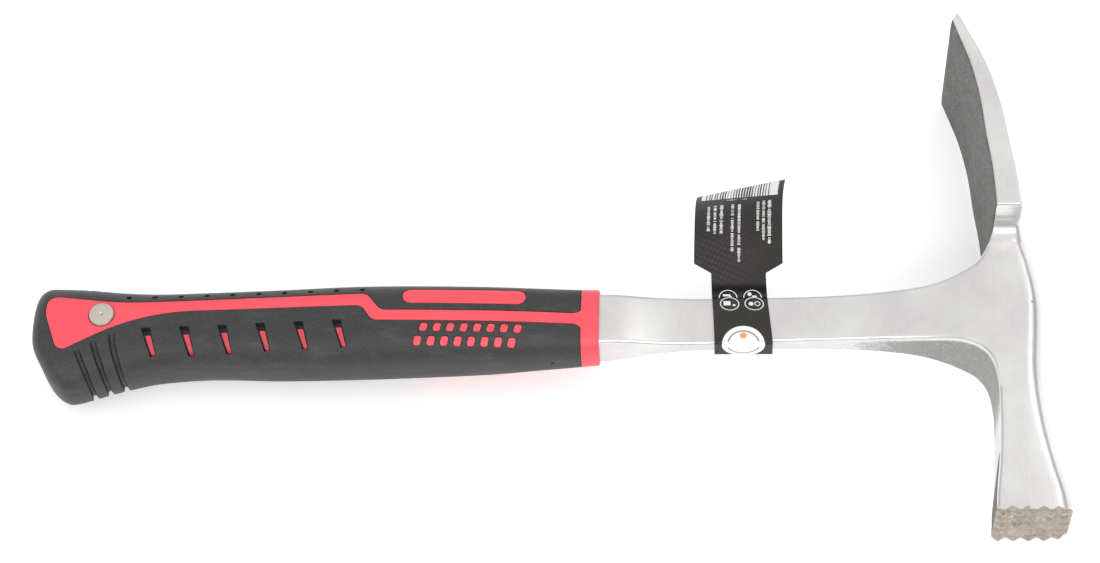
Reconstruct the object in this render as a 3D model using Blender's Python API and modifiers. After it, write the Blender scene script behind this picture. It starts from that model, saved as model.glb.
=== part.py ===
# One-piece forged mason's hammer with a two-colour moulded grip and a card hang tag.
#
# The hammer lies on its side: +X runs from pommel to head, +Y to the blade's tip, +Z is the side's normal.
# Sizes are in millimetres on the hammer's own lines: X from 2 mm behind the pommel, Y from the shank's
# centre line, Z from the mid-plane. Points are turned into metres as each mesh is made.
import math

import bmesh
import bpy
from mathutils import Matrix, Vector

mm = 0.001

# Fits
gap = 0.3                 # between two pieces that touch
spigot_gap = 0.15         # round the spigot, which is a closer fit
weld_distance = 0.00001   # metres
through = 30.0            # how far a cutter reaches each way to pass through everything

# Head, along Y
face_y = -70.0
tip_y = 102.8
face_outer_x = 329.9
head_half = 12.0
blade_half = 25.5
shoulder_y = 29.0
shoulder_radius = 5.5
edge_break = 0.8
inner_break = 1.4
outer_chamfer_x = 5.2
outer_chamfer_z = 3.4
tip_bevel = 3.2

# Striking face
waffle_rows = 5
waffle_pitch = 4.7
waffle_depth = 1.2
waffle_land = 0.25

# Shank and tang
shank_root_x = 316.0
tang_step_x = 181.0
tang_end_x = 14.0
tang_top = 4.5
tang_bottom = -8.0
tang_half = 4.2
tang_root = 6.0           # how far the tang runs into the shank
tang_hole_extra = 0.5
root_set_down = 0.2       # the shank's root under the head's sides

# Grip
pommel_end_x = 2.0
sleeve_end_x = 178.9
collar_length = 5.0
sleeve_wall = 3.0
land_set_down = 0.1
collar_bevel = 0.6
section_power = 2.5
pommel_radius = 5.5
pommel_slope = 0.68
pommel_slope_reach = 60.0
pommel_hinge_y = -12.0
pommel_hinge_soft = 4.0
ring_points = 24

# Grip pattern
groove_first_x = 16.6
groove_pitch = 6.2
groove_depth = 1.3
groove_half_width = 1.1
groove_top_y = (-14.5, -11.3, -8.7)
slot_count = 6
slot_first = (40.2, -7.2)
slot_pitch = (12.24, 0.5)
slot_length = 8.8
slot_slope = 0.3
slot_top_width = 2.9
slot_foot_width = 1.6
pill_centre = (141.7, 4.55)
pill_length = 39.8
pill_height = 6.4
dot_count = 8
dot_rows = ((129.3, -7.05), (127.4, -11.25))
dot_pitch = 4.27
dot_width = 2.2
dot_height = 2.6
dot_slope = 0.3
pit_count = 10
pit_first = (33.3, 4.8)
pit_pitch = (8.39, 0.3)
pit_radius = 0.75
pit_depth = 1.2

# Rivet
rivet_x = 25.9
rivet_y = -2.8
rivet_head_radius = 4.3
rivet_head_height = 1.3
rivet_seat_z = 11.9
rivet_stem_radius = 2.4
rivet_spigot_radius = 1.5
rivet_spigot_length = 6.0
rivet_punch_radius = 0.7

# Hang tag
card_thickness = 0.35
strap_left_x = 221.1
strap_width = 17.6
header_width = 28.6
strap_half_gap = 4.0
strap_bottom_y = -8.8
strap_fold_y = 9.4
strap_bend = 0.9
strap_bend_steps = 3
shoulder_from_y = 17.0
shoulder_to_y = 20.8
header_lean = math.radians(5.0)
header_middle = 16.0
header_flat = 22.0
header_curl_length = 29.9
header_curl_left = math.radians(60.0)
header_curl_right = math.radians(35.0)
flap_top_y = 24.0
seal_radius = 6.95
seal_thickness = 0.15
seal_offset = 0.75

# Rows of the side outline of the head: Y, inner X, outer X
head_rows = (
    (face_y, 306.6, face_outer_x),
    (-64.0, 307.1, 329.2),
    (-54.0, 308.3, 326.9),
    (-44.0, 309.1, 325.0),
    (-33.0, 309.5, 323.6),
    (-21.0, 309.7, 323.0),
    (-8.0, 310.2, 323.8),
    (3.0, 310.4, 324.2),
    (14.0, 310.2, 322.8),
    (shoulder_y - shoulder_radius, 309.9, 320.6),
    (shoulder_y, 310.4, 318.7),
    (37.0, 310.2, 318.0),
    (46.0, 309.6, 317.1),
    (56.0, 308.4, 315.7),
    (66.0, 307.6, 314.3),
    (75.0, 306.4, 312.4),
    (84.5, 304.4, 309.8),
    (93.0, 301.8, 306.1),
)
tip_inner_x = 299.7
tip_outer_x = 301.8

# Rows of the shank: X, lower Y, upper Y
shank_rows = (
    (tang_step_x, -10.2, 7.7),
    (192.0, -9.6, 8.0),
    (205.0, -8.9, 8.4),
    (220.0, -8.3, 8.6),
    (240.0, -7.8, 8.6),
    (262.0, -7.6, 9.0),
    (280.0, -8.0, 9.8),
    (291.0, -9.1, 10.9),
    (298.0, -10.9, 12.8),
)
root_upper = ((303.0, 15.4), (306.6, 19.2), (309.0, 23.6), (311.0, 29.0))
root_lower = ((303.4, -12.8), (306.4, -15.4), (308.4, -19.2), (309.4, -24.0), (310.2, -29.0))

# Rows of the shank's half thickness: X, half Z
thickness_rows = (
    (tang_step_x, 7.1),
    (188.0, 6.95),
    (193.0, 6.2),
    (200.0, 4.5),
    (208.0, 3.2),
    (217.0, 2.55),
    (230.0, 2.9),
    (248.0, 3.3),
    (265.0, 4.05),
    (280.0, 5.6),
    (288.0, 6.95),
    (295.0, head_half - 2.9),
    (301.0, head_half - 1.0),
    (308.0, head_half - root_set_down),
    (shank_root_x, head_half - root_set_down),
)

# Rows of the grip's section: X, centre Y, half height, half thickness
grip_rows = (
    (0.0, -7.9, 19.8, 12.4),
    (10.0, -7.35, 18.9, 13.0),
    (20.0, -6.4, 17.4, 13.0),
    (30.0, -5.7, 15.6, 12.8),
    (42.0, -4.8, 14.1, 12.6),
    (60.0, -3.9, 13.7, 12.5),
    (82.0, -3.65, 14.3, 12.8),
    (105.0, -2.9, 14.65, 13.0),
    (125.0, -2.45, 14.45, 12.8),
    (150.0, -2.05, 13.8, 12.0),
    (165.0, -1.65, 13.0, 11.0),
    (178.0, -1.3, 12.4, 9.9),
    (200.0, -0.4, 11.4, 9.2),
)

# Corners of the inlay and its stripe, which runs into the collar: X, Y, corner radius
stripe_flare_x = sleeve_end_x + 1.0
inlay_corners = (
    (6.9, 5.6, 3.4),
    (7.0, -2.0, 12.0),
    (12.3, -16.0, 3.0),
    (39.7, -1.62, 70.0),
    (108.9, 0.45, 3.4),
    (112.6, -4.9, 3.4),
    (stripe_flare_x, -4.9, 3.8),
    (stripe_flare_x, -20.0, 0.0),
    (stripe_flare_x + 2.0, -20.0, 0.0),
    (stripe_flare_x + 2.0, 20.0, 0.0),
    (stripe_flare_x, 20.0, 0.0),
    (stripe_flare_x, -0.8, 3.6),
    (115.2, -0.9, 3.4),
    (110.4, 5.7, 3.8),
    (30.0, 2.5, 90.0),
)


def clear_scene():
    for item in list(bpy.data.objects):
        bpy.data.objects.remove(item, do_unlink=True)
    for group in list(bpy.data.collections):
        bpy.data.collections.remove(group)


def make_collection(name):
    group = bpy.data.collections.new(name)
    bpy.context.scene.collection.children.link(group)
    return group


def make_material(name, colour, roughness, metallic):
    material = bpy.data.materials.new(name)
    material.use_nodes = True
    shader = material.node_tree.nodes["Principled BSDF"]
    shader.inputs["Base Color"].default_value = (*colour, 1.0)
    shader.inputs["Roughness"].default_value = roughness
    shader.inputs["Metallic"].default_value = metallic
    return material


def add_object(name, mesh, group):
    item = bpy.data.objects.new(name, mesh)
    group.objects.link(item)
    item.parent = frame
    return item


def mesh_from(name, verts, faces):
    mesh = bpy.data.meshes.new(name)
    mesh.from_pydata([Vector(point) * mm for point in verts], [], faces)
    work = bmesh.new()
    work.from_mesh(mesh)
    bmesh.ops.remove_doubles(work, verts=work.verts, dist=weld_distance)
    bmesh.ops.recalc_face_normals(work, faces=work.faces)
    work.to_mesh(mesh)
    work.free()
    return mesh


def interpolate(rows, x):
    # Smooth value of each column at x, with a Hermite curve through the rows
    last = len(rows) - 1
    index = 0
    while index < last - 1 and x > rows[index + 1][0]:
        index += 1

    def slope(at, column):
        low = rows[max(at - 1, 0)]
        high = rows[min(at + 1, last)]
        return (high[column] - low[column]) / (high[0] - low[0])

    start = rows[index]
    end = rows[index + 1]
    span = end[0] - start[0]
    t = min(max((x - start[0]) / span, 0.0), 1.0)
    values = []
    for column in range(1, len(start)):
        a = (1 + 2 * t) * (1 - t) ** 2
        b = t * (1 - t) ** 2 * span
        c = t * t * (3 - 2 * t)
        d = t * t * (t - 1) * span
        values.append(a * start[column] + b * slope(index, column)
                      + c * end[column] + d * slope(index + 1, column))
    return values


def refine(rows, parts):
    # The rows with parts - 1 smooth rows put between each two
    out = []
    for start, end in zip(rows, rows[1:]):
        for step in range(parts):
            x = start[0] + (end[0] - start[0]) * step / parts
            out.append((x, *interpolate(rows, x)))
    out.append(rows[-1])
    return out


def round_outline(corners, steps=5):
    # Closed outline with an arc of the given radius at each corner
    points = []
    count = len(corners)
    for index, (x, y, radius) in enumerate(corners):
        here = Vector((x, y))
        before = Vector(corners[index - 1][:2]) - here
        after = Vector(corners[(index + 1) % count][:2]) - here
        half_angle = before.angle(after) / 2
        if radius == 0.0:
            points.append(here)
            continue
        reach = radius / math.tan(half_angle)
        middle = here + (before.normalized() + after.normalized()).normalized() * radius / math.sin(half_angle)
        start = here + before.normalized() * reach - middle
        sweep = start.angle_signed(here + after.normalized() * reach - middle)
        for step in range(steps + 1):
            turn = -sweep * step / steps
            rotated = Vector((start.x * math.cos(turn) - start.y * math.sin(turn),
                              start.x * math.sin(turn) + start.y * math.cos(turn)))
            points.append(middle + rotated)
    return [(point.x, point.y) for point in points]


def shrink(points, distance):
    # The closed outline moved inwards by the distance
    area = sum(a[0] * b[1] - b[0] * a[1] for a, b in zip(points, points[1:] + points[:1]))
    side = 1.0 if area > 0 else -1.0
    out = []
    for index, point in enumerate(points):
        before = Vector(point) - Vector(points[index - 1])
        after = Vector(points[(index + 1) % len(points)]) - Vector(point)
        first = Vector((-before.y, before.x)).normalized()
        second = Vector((-after.y, after.x)).normalized()
        middle = (first + second).normalized()
        reach = distance / max(middle.dot(first), 0.5)
        out.append((point[0] + middle.x * reach * side, point[1] + middle.y * reach * side))
    return out


# Turns an outline's plane: extruded along Z as it is, along X from (Y, Z), along Y from (X, Z)
extrude_axis = {
    "Z": Matrix.Identity(4),
    "X": Matrix(((0, 0, 1, 0), (1, 0, 0, 0), (0, 1, 0, 0), (0, 0, 0, 1))),
    "Y": Matrix.Rotation(math.radians(90), 4, "X"),
}


def prism(name, outline, low, high, group, axis="Z"):
    # Flat outline, filled and extruded from low to high along its axis
    curve = bpy.data.curves.new(name, "CURVE")
    curve.dimensions = "2D"
    curve.fill_mode = "BOTH"
    curve.extrude = (high - low) / 2 * mm
    spline = curve.splines.new("POLY")
    spline.points.add(len(outline) - 1)
    for point, (x, y) in zip(spline.points, outline):
        point.co = (x * mm, y * mm, 0.0, 1.0)
    spline.use_cyclic_u = True
    shape = bpy.data.objects.new(name, curve)
    group.objects.link(shape)
    bpy.context.view_layer.update()
    mesh = bpy.data.meshes.new_from_object(shape.evaluated_get(bpy.context.evaluated_depsgraph_get()))
    bpy.data.objects.remove(shape)
    work = bmesh.new()
    work.from_mesh(mesh)
    bmesh.ops.remove_doubles(work, verts=work.verts, dist=weld_distance)
    bmesh.ops.translate(work, verts=work.verts, vec=(0.0, 0.0, (high + low) / 2 * mm))
    bmesh.ops.transform(work, matrix=extrude_axis[axis], verts=work.verts)
    bmesh.ops.recalc_face_normals(work, faces=work.faces)
    work.to_mesh(mesh)
    work.free()
    return add_object(name, mesh, group)


def join_pieces(name, pieces, group):
    # One object from closed pieces that don't touch
    work = bmesh.new()
    for piece in pieces:
        work.from_mesh(piece.data)
        bpy.data.objects.remove(piece)
    mesh = bpy.data.meshes.new(name)
    work.to_mesh(mesh)
    work.free()
    return add_object(name, mesh, group)


def boolean(item, operation, other):
    modifier = item.modifiers.new(other.name, "BOOLEAN")
    modifier.operation = operation
    modifier.solver = "EXACT"
    modifier.object = other
    other.hide_render = True
    other.display_type = "WIRE"


def finish(item, material):
    item.data.materials.clear()
    item.data.materials.append(material)
    item.data.shade_smooth()
    item.data.set_sharp_from_angle(angle=math.radians(30))
    return item


def loft(rings):
    # Closed skin over rings of as many points each, capped at both ends
    verts = [point for ring in rings for point in ring]
    count = len(rings[0])
    faces = []
    for row in range(len(rings) - 1):
        for column in range(count):
            after = (column + 1) % count
            faces.append((row * count + column, row * count + after,
                          (row + 1) * count + after, (row + 1) * count + column))
    faces.append(tuple(range(count)))
    faces.append(tuple(range((len(rings) - 1) * count, len(rings) * count)))
    return verts, faces


# Forging


def head_ring(y, inner, outer, half, chamfer_x, chamfer_z, inner_cut, lift=0.0):
    # Section across the head at y; the lift raises its outer side towards the tip
    side = [
        (inner, half - inner_cut),
        (inner + inner_cut, half),
        (outer - chamfer_x, half),
        (outer - chamfer_x * 0.35, half - chamfer_z * 0.3),
        (outer, half - chamfer_z),
    ]
    ring = side + [(x, -z) for x, z in reversed(side)]
    return [(x, y + lift * (x - inner) / (outer - inner), z) for x, z in ring]


def make_head(group):
    rings = []
    for y, inner, outer in head_rows:
        if y < shoulder_y:
            rings.append(head_ring(y, inner, outer, head_half, outer_chamfer_x, outer_chamfer_z, inner_break))
    # Concave shoulder from the neck out to the blade's width
    for turn in (30, 55, 80):
        angle = math.radians(turn)
        share = math.sin(angle)
        y = shoulder_y - shoulder_radius * (1 - share)
        inner, outer = interpolate(head_rows, y)
        half = head_half + shoulder_radius * (1 - math.cos(angle))
        chamfer_x = outer_chamfer_x * (1 - share) + edge_break * share
        chamfer_z = outer_chamfer_z * (1 - share) + edge_break * share
        rings.append(head_ring(y, inner, outer, half, chamfer_x, chamfer_z, edge_break))
    for y, inner, outer in head_rows:
        if y >= shoulder_y:
            rings.append(head_ring(y, inner, outer, blade_half, edge_break, edge_break, edge_break))
    rings.append(head_ring(tip_y - tip_bevel, tip_inner_x, tip_outer_x, blade_half, edge_break, edge_break,
                           edge_break, tip_bevel))
    verts, faces = loft(rings)
    return add_object("head_body", mesh_from("head_body", verts, faces), group)


def waffle_cutter(name, axis, middle, group):
    # Parallel V grooves across the striking face, one between each two rows and one past each edge
    half_width = waffle_pitch / 2 - waffle_land / 2
    clear = waffle_depth * 0.5
    reach = head_half + 4.0
    pieces = []
    for index in range(waffle_rows + 1):
        offset = middle + (index - waffle_rows / 2) * waffle_pitch
        half_mouth = half_width * (1 + clear / waffle_depth)
        corners = [(offset - half_mouth, face_y - clear), (offset + half_mouth, face_y - clear),
                   (offset, face_y + waffle_depth)]
        if axis == "X":
            outline = [(y, z) for z, y in corners]
            low = (head_rows[0][1] + face_outer_x) / 2 - reach
        else:
            outline = corners
            low = -reach
        pieces.append(prism(f"{name}_{index}", outline, low, low + 2 * reach, group, axis))
    return join_pieces(name, pieces, group)


def make_forging(group, cutters, material):
    head = make_head(cutters)
    shank = refine(shank_rows, 3)
    upper = [(x, top) for x, low, top in shank] + list(root_upper)
    lower = [(x, low) for x, low, top in shank] + list(root_lower)
    outline = lower + [(shank_root_x, root_lower[-1][1]), (shank_root_x, root_upper[-1][1])] + upper[::-1]
    side = prism("forging", outline, -head_half - 2.0, head_half + 2.0, group)
    thick = refine(thickness_rows, 2)
    band = [(x, half) for x, half in thick] + [(x, -half) for x, half in reversed(thick)]
    boolean(side, "INTERSECT", prism("shank_thickness", band, -2 * through, 2 * through, cutters, "Y"))
    root_x = tang_step_x + tang_root
    tang_corners = ((tang_end_x, tang_bottom, 4.0), (root_x, tang_bottom, 0.0),
                    (root_x, tang_top, 0.0), (tang_end_x, tang_top, 4.0))
    boolean(side, "UNION", prism("tang", round_outline(tang_corners), -tang_half, tang_half, cutters))
    boolean(side, "UNION", head)
    middle_x = (head_rows[0][1] + face_outer_x) / 2
    boolean(side, "DIFFERENCE", waffle_cutter("waffle_across", "X", 0.0, cutters))
    boolean(side, "DIFFERENCE", waffle_cutter("waffle_down", "Z", middle_x, cutters))
    boolean(side, "DIFFERENCE", bore("tang_hole", rivet_stem_radius + tang_hole_extra, cutters))
    return finish(side, material)


# Grip


def lean(x, y):
    # How far the pommel's raked sections run forward below the hinge line
    slope = pommel_slope * max(0.0, 1 - x / pommel_slope_reach)
    below = pommel_hinge_y - y
    return slope * (below + math.hypot(below, pommel_hinge_soft)) / 2


def grip_ring(x, inset, scale=1.0, groove=None):
    centre, tall, thick = interpolate(grip_rows, x)
    ring = []
    for step in range(ring_points):
        angle = 2 * math.pi * step / ring_points
        across = math.copysign(abs(math.cos(angle)) ** (2 / section_power), math.cos(angle))
        out = math.copysign(abs(math.sin(angle)) ** (2 / section_power), math.sin(angle))
        cut = inset
        if groove is not None:
            y = centre + tall * across
            cut += groove_depth * min(max((groove_top_y[groove] - y) / 2.0, 0.0), 1.0)
        y = centre + (tall - cut) * scale * across
        ring.append((x + lean(x, y), y, (thick - cut) * scale * out))
    return ring


def grip_body(start, end, inset, radius, grooved=False):
    # Rings from the pommel's rounded end at start to the flat section at end
    rings = [grip_ring(start, inset + radius, 0.35), grip_ring(start, inset + radius, 0.7)]
    for turn in (0, 30, 60, 90):
        angle = math.radians(turn)
        rings.append(grip_ring(start + radius * (1 - math.cos(angle)), inset + radius * (1 - math.sin(angle))))
    plain_stops = (10.5, 36.0, 48.0, 60.0, 75.0, 90.0, 105.0, 120.0, 135.0, 150.0, 164.0)
    stops = [(x, None) for x in plain_stops if x < end]
    for index in range(len(groove_top_y)):
        x = groove_first_x + index * groove_pitch
        if grooved:
            stops += [(x - groove_half_width, None), (x - groove_half_width * 0.4, index),
                      (x + groove_half_width * 0.4, index), (x + groove_half_width, None)]
        else:
            stops.append((x, None))
    for x, groove in sorted(stops, key=lambda stop: stop[0]):
        rings.append(grip_ring(x, inset, groove=groove))
    rings.append(grip_ring(end, inset))
    return rings


def slanted_dot(x, y, grow):
    half_wide = dot_width / 2 + grow
    half_tall = dot_height / 2 + grow
    radius = 0.9 + grow
    corners = [(x + wide * half_wide + tall * half_tall * dot_slope, y + tall * half_tall, radius)
               for wide, tall in ((-1, -1), (1, -1), (1, 1), (-1, 1))]
    return round_outline(corners, 1)


def pattern_outlines(grow):
    # Inlay with its stripe, pill and dots; grow is negative for the red lands and zero for the windows
    half = pill_height / 2
    x, y = pill_centre
    pill = [(x - pill_length / 2, y - half, half * 0.98), (x + pill_length / 2, y - half, half * 0.98),
            (x + pill_length / 2, y + half, half * 0.98), (x - pill_length / 2, y + half, half * 0.98)]
    outlines = [shrink(round_outline(inlay_corners), -grow), shrink(round_outline(pill), -grow)]
    for first_x, row_y in dot_rows:
        for index in range(dot_count):
            outlines.append(slanted_dot(first_x + index * dot_pitch, row_y, grow))
    return outlines


def slot_outline(index):
    x = slot_first[0] + index * slot_pitch[0]
    y = slot_first[1] + index * slot_pitch[1]
    foot_x = x + slot_length * slot_slope
    foot_y = y - slot_length
    corners = [(x - slot_top_width / 2, y, 0.3), (foot_x - slot_foot_width / 2, foot_y, 0.7),
               (foot_x + slot_foot_width / 2, foot_y, 0.7), (x + slot_top_width / 2, y, 0.3)]
    return round_outline(corners, 2)


def bore(name, radius, group):
    # Hole for the rivet through the whole thickness
    work = bmesh.new()
    bmesh.ops.create_cone(work, cap_ends=True, segments=16, radius1=radius * mm, radius2=radius * mm,
                          depth=2 * through * mm)
    bmesh.ops.translate(work, verts=work.verts, vec=(rivet_x * mm, rivet_y * mm, 0.0))
    mesh = bpy.data.meshes.new(name)
    work.to_mesh(mesh)
    work.free()
    return add_object(name, mesh, group)


def seat_cutter(group):
    # Counterbores under the rivet's two heads
    pieces = []
    for side in (-1, 1):
        work = bmesh.new()
        radius = (rivet_head_radius + gap) * mm
        bmesh.ops.create_cone(work, cap_ends=True, segments=24, radius1=radius, radius2=radius, depth=10.0 * mm)
        place = (rivet_x * mm, rivet_y * mm, side * (rivet_seat_z + 5.0) * mm)
        bmesh.ops.translate(work, verts=work.verts, vec=place)
        mesh = bpy.data.meshes.new("seat")
        work.to_mesh(mesh)
        work.free()
        pieces.append(add_object("seat", mesh, group))
    return join_pieces("rivet_seats", pieces, group)


def pit_cutter(group):
    # Small blind pits along the upper shoulder of both faces, square to the surface
    pieces = []
    for index in range(pit_count):
        x = pit_first[0] + index * pit_pitch[0]
        y = pit_first[1] + index * pit_pitch[1]
        centre, tall, thick = interpolate(grip_rows, x)
        share = (y - centre) / tall
        z = thick * (1 - share ** section_power) ** (1 / section_power)
        normal = Vector((0.0, share ** (section_power - 1) / tall, (z / thick) ** (section_power - 1) / thick))
        for side in (-1, 1):
            work = bmesh.new()
            bmesh.ops.create_cone(work, cap_ends=True, segments=6, radius1=pit_radius * mm,
                                  radius2=pit_radius * mm, depth=2 * pit_depth * mm)
            aim = Vector((0.0, normal.y, side * normal.z)).to_track_quat("Z", "X").to_matrix().to_4x4()
            place = Matrix.Translation(Vector((x, y, side * z)) * mm)
            bmesh.ops.transform(work, matrix=place @ aim, verts=work.verts)
            mesh = bpy.data.meshes.new("pit")
            work.to_mesh(mesh)
            work.free()
            pieces.append(add_object("pit", mesh, group))
    return join_pieces("pits", pieces, group)


def prisms(name, outlines, group):
    pieces = []
    for index, outline in enumerate(outlines):
        pieces.append(prism(f"{name}_{index}", outline, -through, through, group))
    return join_pieces(name, pieces, group)


def grip_solid(name, rings, group):
    verts, faces = loft(rings)
    return add_object(name, mesh_from(name, verts, faces), group)


def make_sleeve(group, cutters, material):
    outer = grip_body(pommel_end_x, sleeve_end_x, 0.0, pommel_radius, grooved=True)
    sleeve = grip_solid("grip_sleeve", outer, group)
    cavity_start = pommel_end_x + sleeve_wall
    cavity = grip_body(cavity_start, sleeve_end_x + 5.0, sleeve_wall, pommel_radius - sleeve_wall)
    boolean(sleeve, "DIFFERENCE", grip_solid("sleeve_cavity", cavity, cutters))
    windows = pattern_outlines(0.0) + [slot_outline(index) for index in range(slot_count)]
    boolean(sleeve, "DIFFERENCE", prisms("sleeve_windows", windows, cutters))
    boolean(sleeve, "DIFFERENCE", pit_cutter(cutters))
    return finish(sleeve, material)


def make_core(group, cutters, material):
    core = prisms("grip_core", pattern_outlines(-gap), group)
    flush = grip_body(pommel_end_x + land_set_down, stripe_flare_x + gap + 0.7, land_set_down, pommel_radius)
    boolean(core, "INTERSECT", grip_solid("land_limit", flush, cutters))
    collar_start = sleeve_end_x + gap
    collar_end = collar_start + collar_length
    buried = sleeve_wall + gap
    rings = grip_body(pommel_end_x + buried, collar_start, buried, pommel_radius - sleeve_wall)
    rings.append(grip_ring(collar_start, 0.0))
    rings.append(grip_ring(collar_end - collar_bevel, 0.0))
    rings.append(grip_ring(collar_end, collar_bevel))
    boolean(core, "UNION", grip_solid("core_body", rings, cutters))
    boolean(core, "DIFFERENCE", tang_space(cutters))
    boolean(core, "DIFFERENCE", bore("core_bore", rivet_stem_radius + gap, cutters))
    boolean(core, "DIFFERENCE", seat_cutter(cutters))
    return finish(core, material)


def tang_space(group):
    # Room for the tang and, past its step, for the end of the shank
    corners = ((tang_end_x - gap, tang_bottom - gap, 4.0), (tang_step_x + 0.5, tang_bottom - gap, 0.0),
               (tang_step_x + 0.5, tang_top + gap, 0.0), (tang_end_x - gap, tang_top + gap, 4.0))
    tang = prism("tang_space", round_outline(corners), -tang_half - gap, tang_half + gap, group)
    start = tang_step_x - gap
    end = start + through
    low, high = interpolate(shank_rows, tang_step_x)
    half = thickness_rows[0][1] + gap
    mouth = [(start, low - gap), (end, low - gap), (end, high + gap), (start, high + gap)]
    boolean(tang, "UNION", prism("shank_space", mouth, -half, half, group))
    return tang


# Rivet


def turned(name, profile, group, material, flip=False):
    # Profile in radius and height, from the axis round to the axis, turned with a Screw modifier
    mesh = bpy.data.meshes.new(name)
    verts = [(radius * mm, 0.0, z * mm) for radius, z in profile]
    mesh.from_pydata(verts, [(index, index + 1) for index in range(len(verts) - 1)], [])
    item = add_object(name, mesh, group)
    item.location = (rivet_x * mm, rivet_y * mm, 0.0)
    if flip:
        item.rotation_euler.x = math.pi
    screw = item.modifiers.new("turn", "SCREW")
    screw.steps = 16
    screw.render_steps = 16
    screw.use_merge_vertices = True
    screw.merge_threshold = 0.00001
    item.data.materials.append(material)
    return item


def make_rivet(group, material):
    under = rivet_seat_z + gap
    top = under + rivet_head_height
    edge = 0.35
    post = [(0.0, top - 0.35), (rivet_punch_radius, top), (rivet_head_radius - edge, top),
            (rivet_head_radius, top - edge), (rivet_head_radius, under), (rivet_stem_radius, under),
            (rivet_stem_radius, 0.0), (rivet_spigot_radius, 0.0),
            (rivet_spigot_radius, -rivet_spigot_length), (0.0, -rivet_spigot_length)]
    turned("rivet_post", post, group, material)
    socket = rivet_spigot_radius + spigot_gap
    cap = [(0.0, top), (rivet_head_radius - edge, top), (rivet_head_radius, top - edge),
           (rivet_head_radius, under), (rivet_stem_radius, under), (rivet_stem_radius, gap),
           (socket, gap), (socket, rivet_spigot_length + gap), (0.0, rivet_spigot_length + gap)]
    turned("rivet_cap", cap, group, material, flip=True)


# Hang tag


def card_path():
    # Middle line of the card in Y and Z: from the glued flap down behind the shank, under it and up to the fold
    half = strap_half_gap
    behind = card_thickness + gap
    corners = [
        (flap_top_y, header_point(flap_top_y - strap_fold_y, 0.0)[1] - behind, 0.0),
        (strap_fold_y + 5.5, header_point(5.5, 0.0)[1] - behind, 2.0),
        (strap_fold_y + 0.2, -half, 1.6),
        (strap_bottom_y, -half, strap_bend),
        (strap_bottom_y, half, strap_bend),
        (strap_fold_y, half, 0.0),
    ]
    return round_outline(corners, strap_bend_steps)


def header_point(along, share):
    # Y and Z of the header at a distance above the fold; it curls back less towards its right side
    flat = min(along, header_flat)
    y = strap_fold_y + flat * math.cos(header_lean)
    z = strap_half_gap - flat * math.sin(header_lean)
    if along > header_flat:
        curl = header_curl_left + (header_curl_right - header_curl_left) * share - header_lean
        radius = header_curl_length / curl
        turn = header_lean + (along - header_flat) / radius
        y += radius * (math.sin(turn) - math.sin(header_lean))
        z -= radius * (math.cos(header_lean) - math.cos(turn))
    return y, z


def sheet(name, rows, thickness, group, material):
    # Open grid of points made solid, half its thickness to each side
    count = len(rows[0])
    verts = [point for row in rows for point in row]
    faces = [(row * count + column, row * count + column + 1,
              (row + 1) * count + column + 1, (row + 1) * count + column)
             for row in range(len(rows) - 1) for column in range(count - 1)]
    item = add_object(name, mesh_from(name, verts, faces), group)
    solid = item.modifiers.new("thickness", "SOLIDIFY")
    solid.thickness = thickness * mm
    solid.offset = 0.0
    solid.use_even_offset = True
    return finish(item, material)


def make_card(group, material):
    columns = 5
    rows = []
    for y, z in card_path():
        rows.append([(strap_left_x + strap_width * column / columns, y, z) for column in range(columns + 1)])
    shoulder_from = shoulder_from_y - strap_fold_y
    shoulder_to = shoulder_to_y - strap_fold_y
    stops = [shoulder_from, shoulder_to, header_middle, header_flat]
    stops += [header_flat + header_curl_length * step / 6 for step in range(1, 7)]
    for along in stops:
        widen = min(max((along - shoulder_from) / (shoulder_to - shoulder_from), 0.0), 1.0)
        width = strap_width + (header_width - strap_width) * widen
        left = strap_left_x + strap_width / 2 - width / 2
        row = []
        for column in range(columns + 1):
            share = column / columns
            row.append((left + width * share, *header_point(along, share)))
        rows.append(row)
    return sheet("tag_card", rows, card_thickness, group, material)


def make_seal(group, material):
    # Round sticker folded over the strap's lower front edge
    lift = card_thickness / 2 + gap + seal_thickness / 2
    radius = strap_bend + lift
    front = strap_half_gap + lift
    bottom = strap_bottom_y - lift
    bend = radius * math.pi / 2
    # Levels count backwards round the edge, from the start of its bend
    levels = [bend * step / strap_bend_steps for step in range(strap_bend_steps + 1)]
    levels = [bend / 2 + seal_offset + seal_radius * share for share in (-0.995, -0.9, -0.7, -0.4)] + levels
    levels += [bend / 2 + seal_offset + seal_radius * share for share in (0.45, 0.7, 0.9, 0.995)]
    middle_x = strap_left_x + strap_width / 2
    rows = []
    for level in levels:
        half = math.sqrt(seal_radius ** 2 - (level - bend / 2 - seal_offset) ** 2)
        if level <= 0.0:
            y, z = bottom + radius - level, front
        elif level >= bend:
            y, z = bottom, front - radius - (level - bend)
        else:
            y = bottom + radius * (1 - math.sin(level / radius))
            z = front - radius * (1 - math.cos(level / radius))
        rows.append([(middle_x + half * (column / 3 - 1), y, z) for column in range(7)])
    return sheet("seal_sticker", rows, seal_thickness, group, material)


def stand_on_origin(group):
    # Moves the frame so that the origin is under the middle of the whole hammer, at its lowest point
    bpy.context.view_layer.update()
    graph = bpy.context.evaluated_depsgraph_get()
    points = []
    for item in group.objects:
        shape = item.evaluated_get(graph)
        points += [shape.matrix_world @ vert.co for vert in shape.data.vertices]
    low = [min(point[axis] for point in points) for axis in range(3)]
    high = [max(point[axis] for point in points) for axis in range(3)]
    frame.location -= Vector(((low[0] + high[0]) / 2, (low[1] + high[1]) / 2, low[2]))


clear_scene()
frame = bpy.data.objects.new("hammer_frame", None)
bpy.context.scene.collection.objects.link(frame)
parts = make_collection("masons_hammer")
tools = make_collection("cutters")

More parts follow.
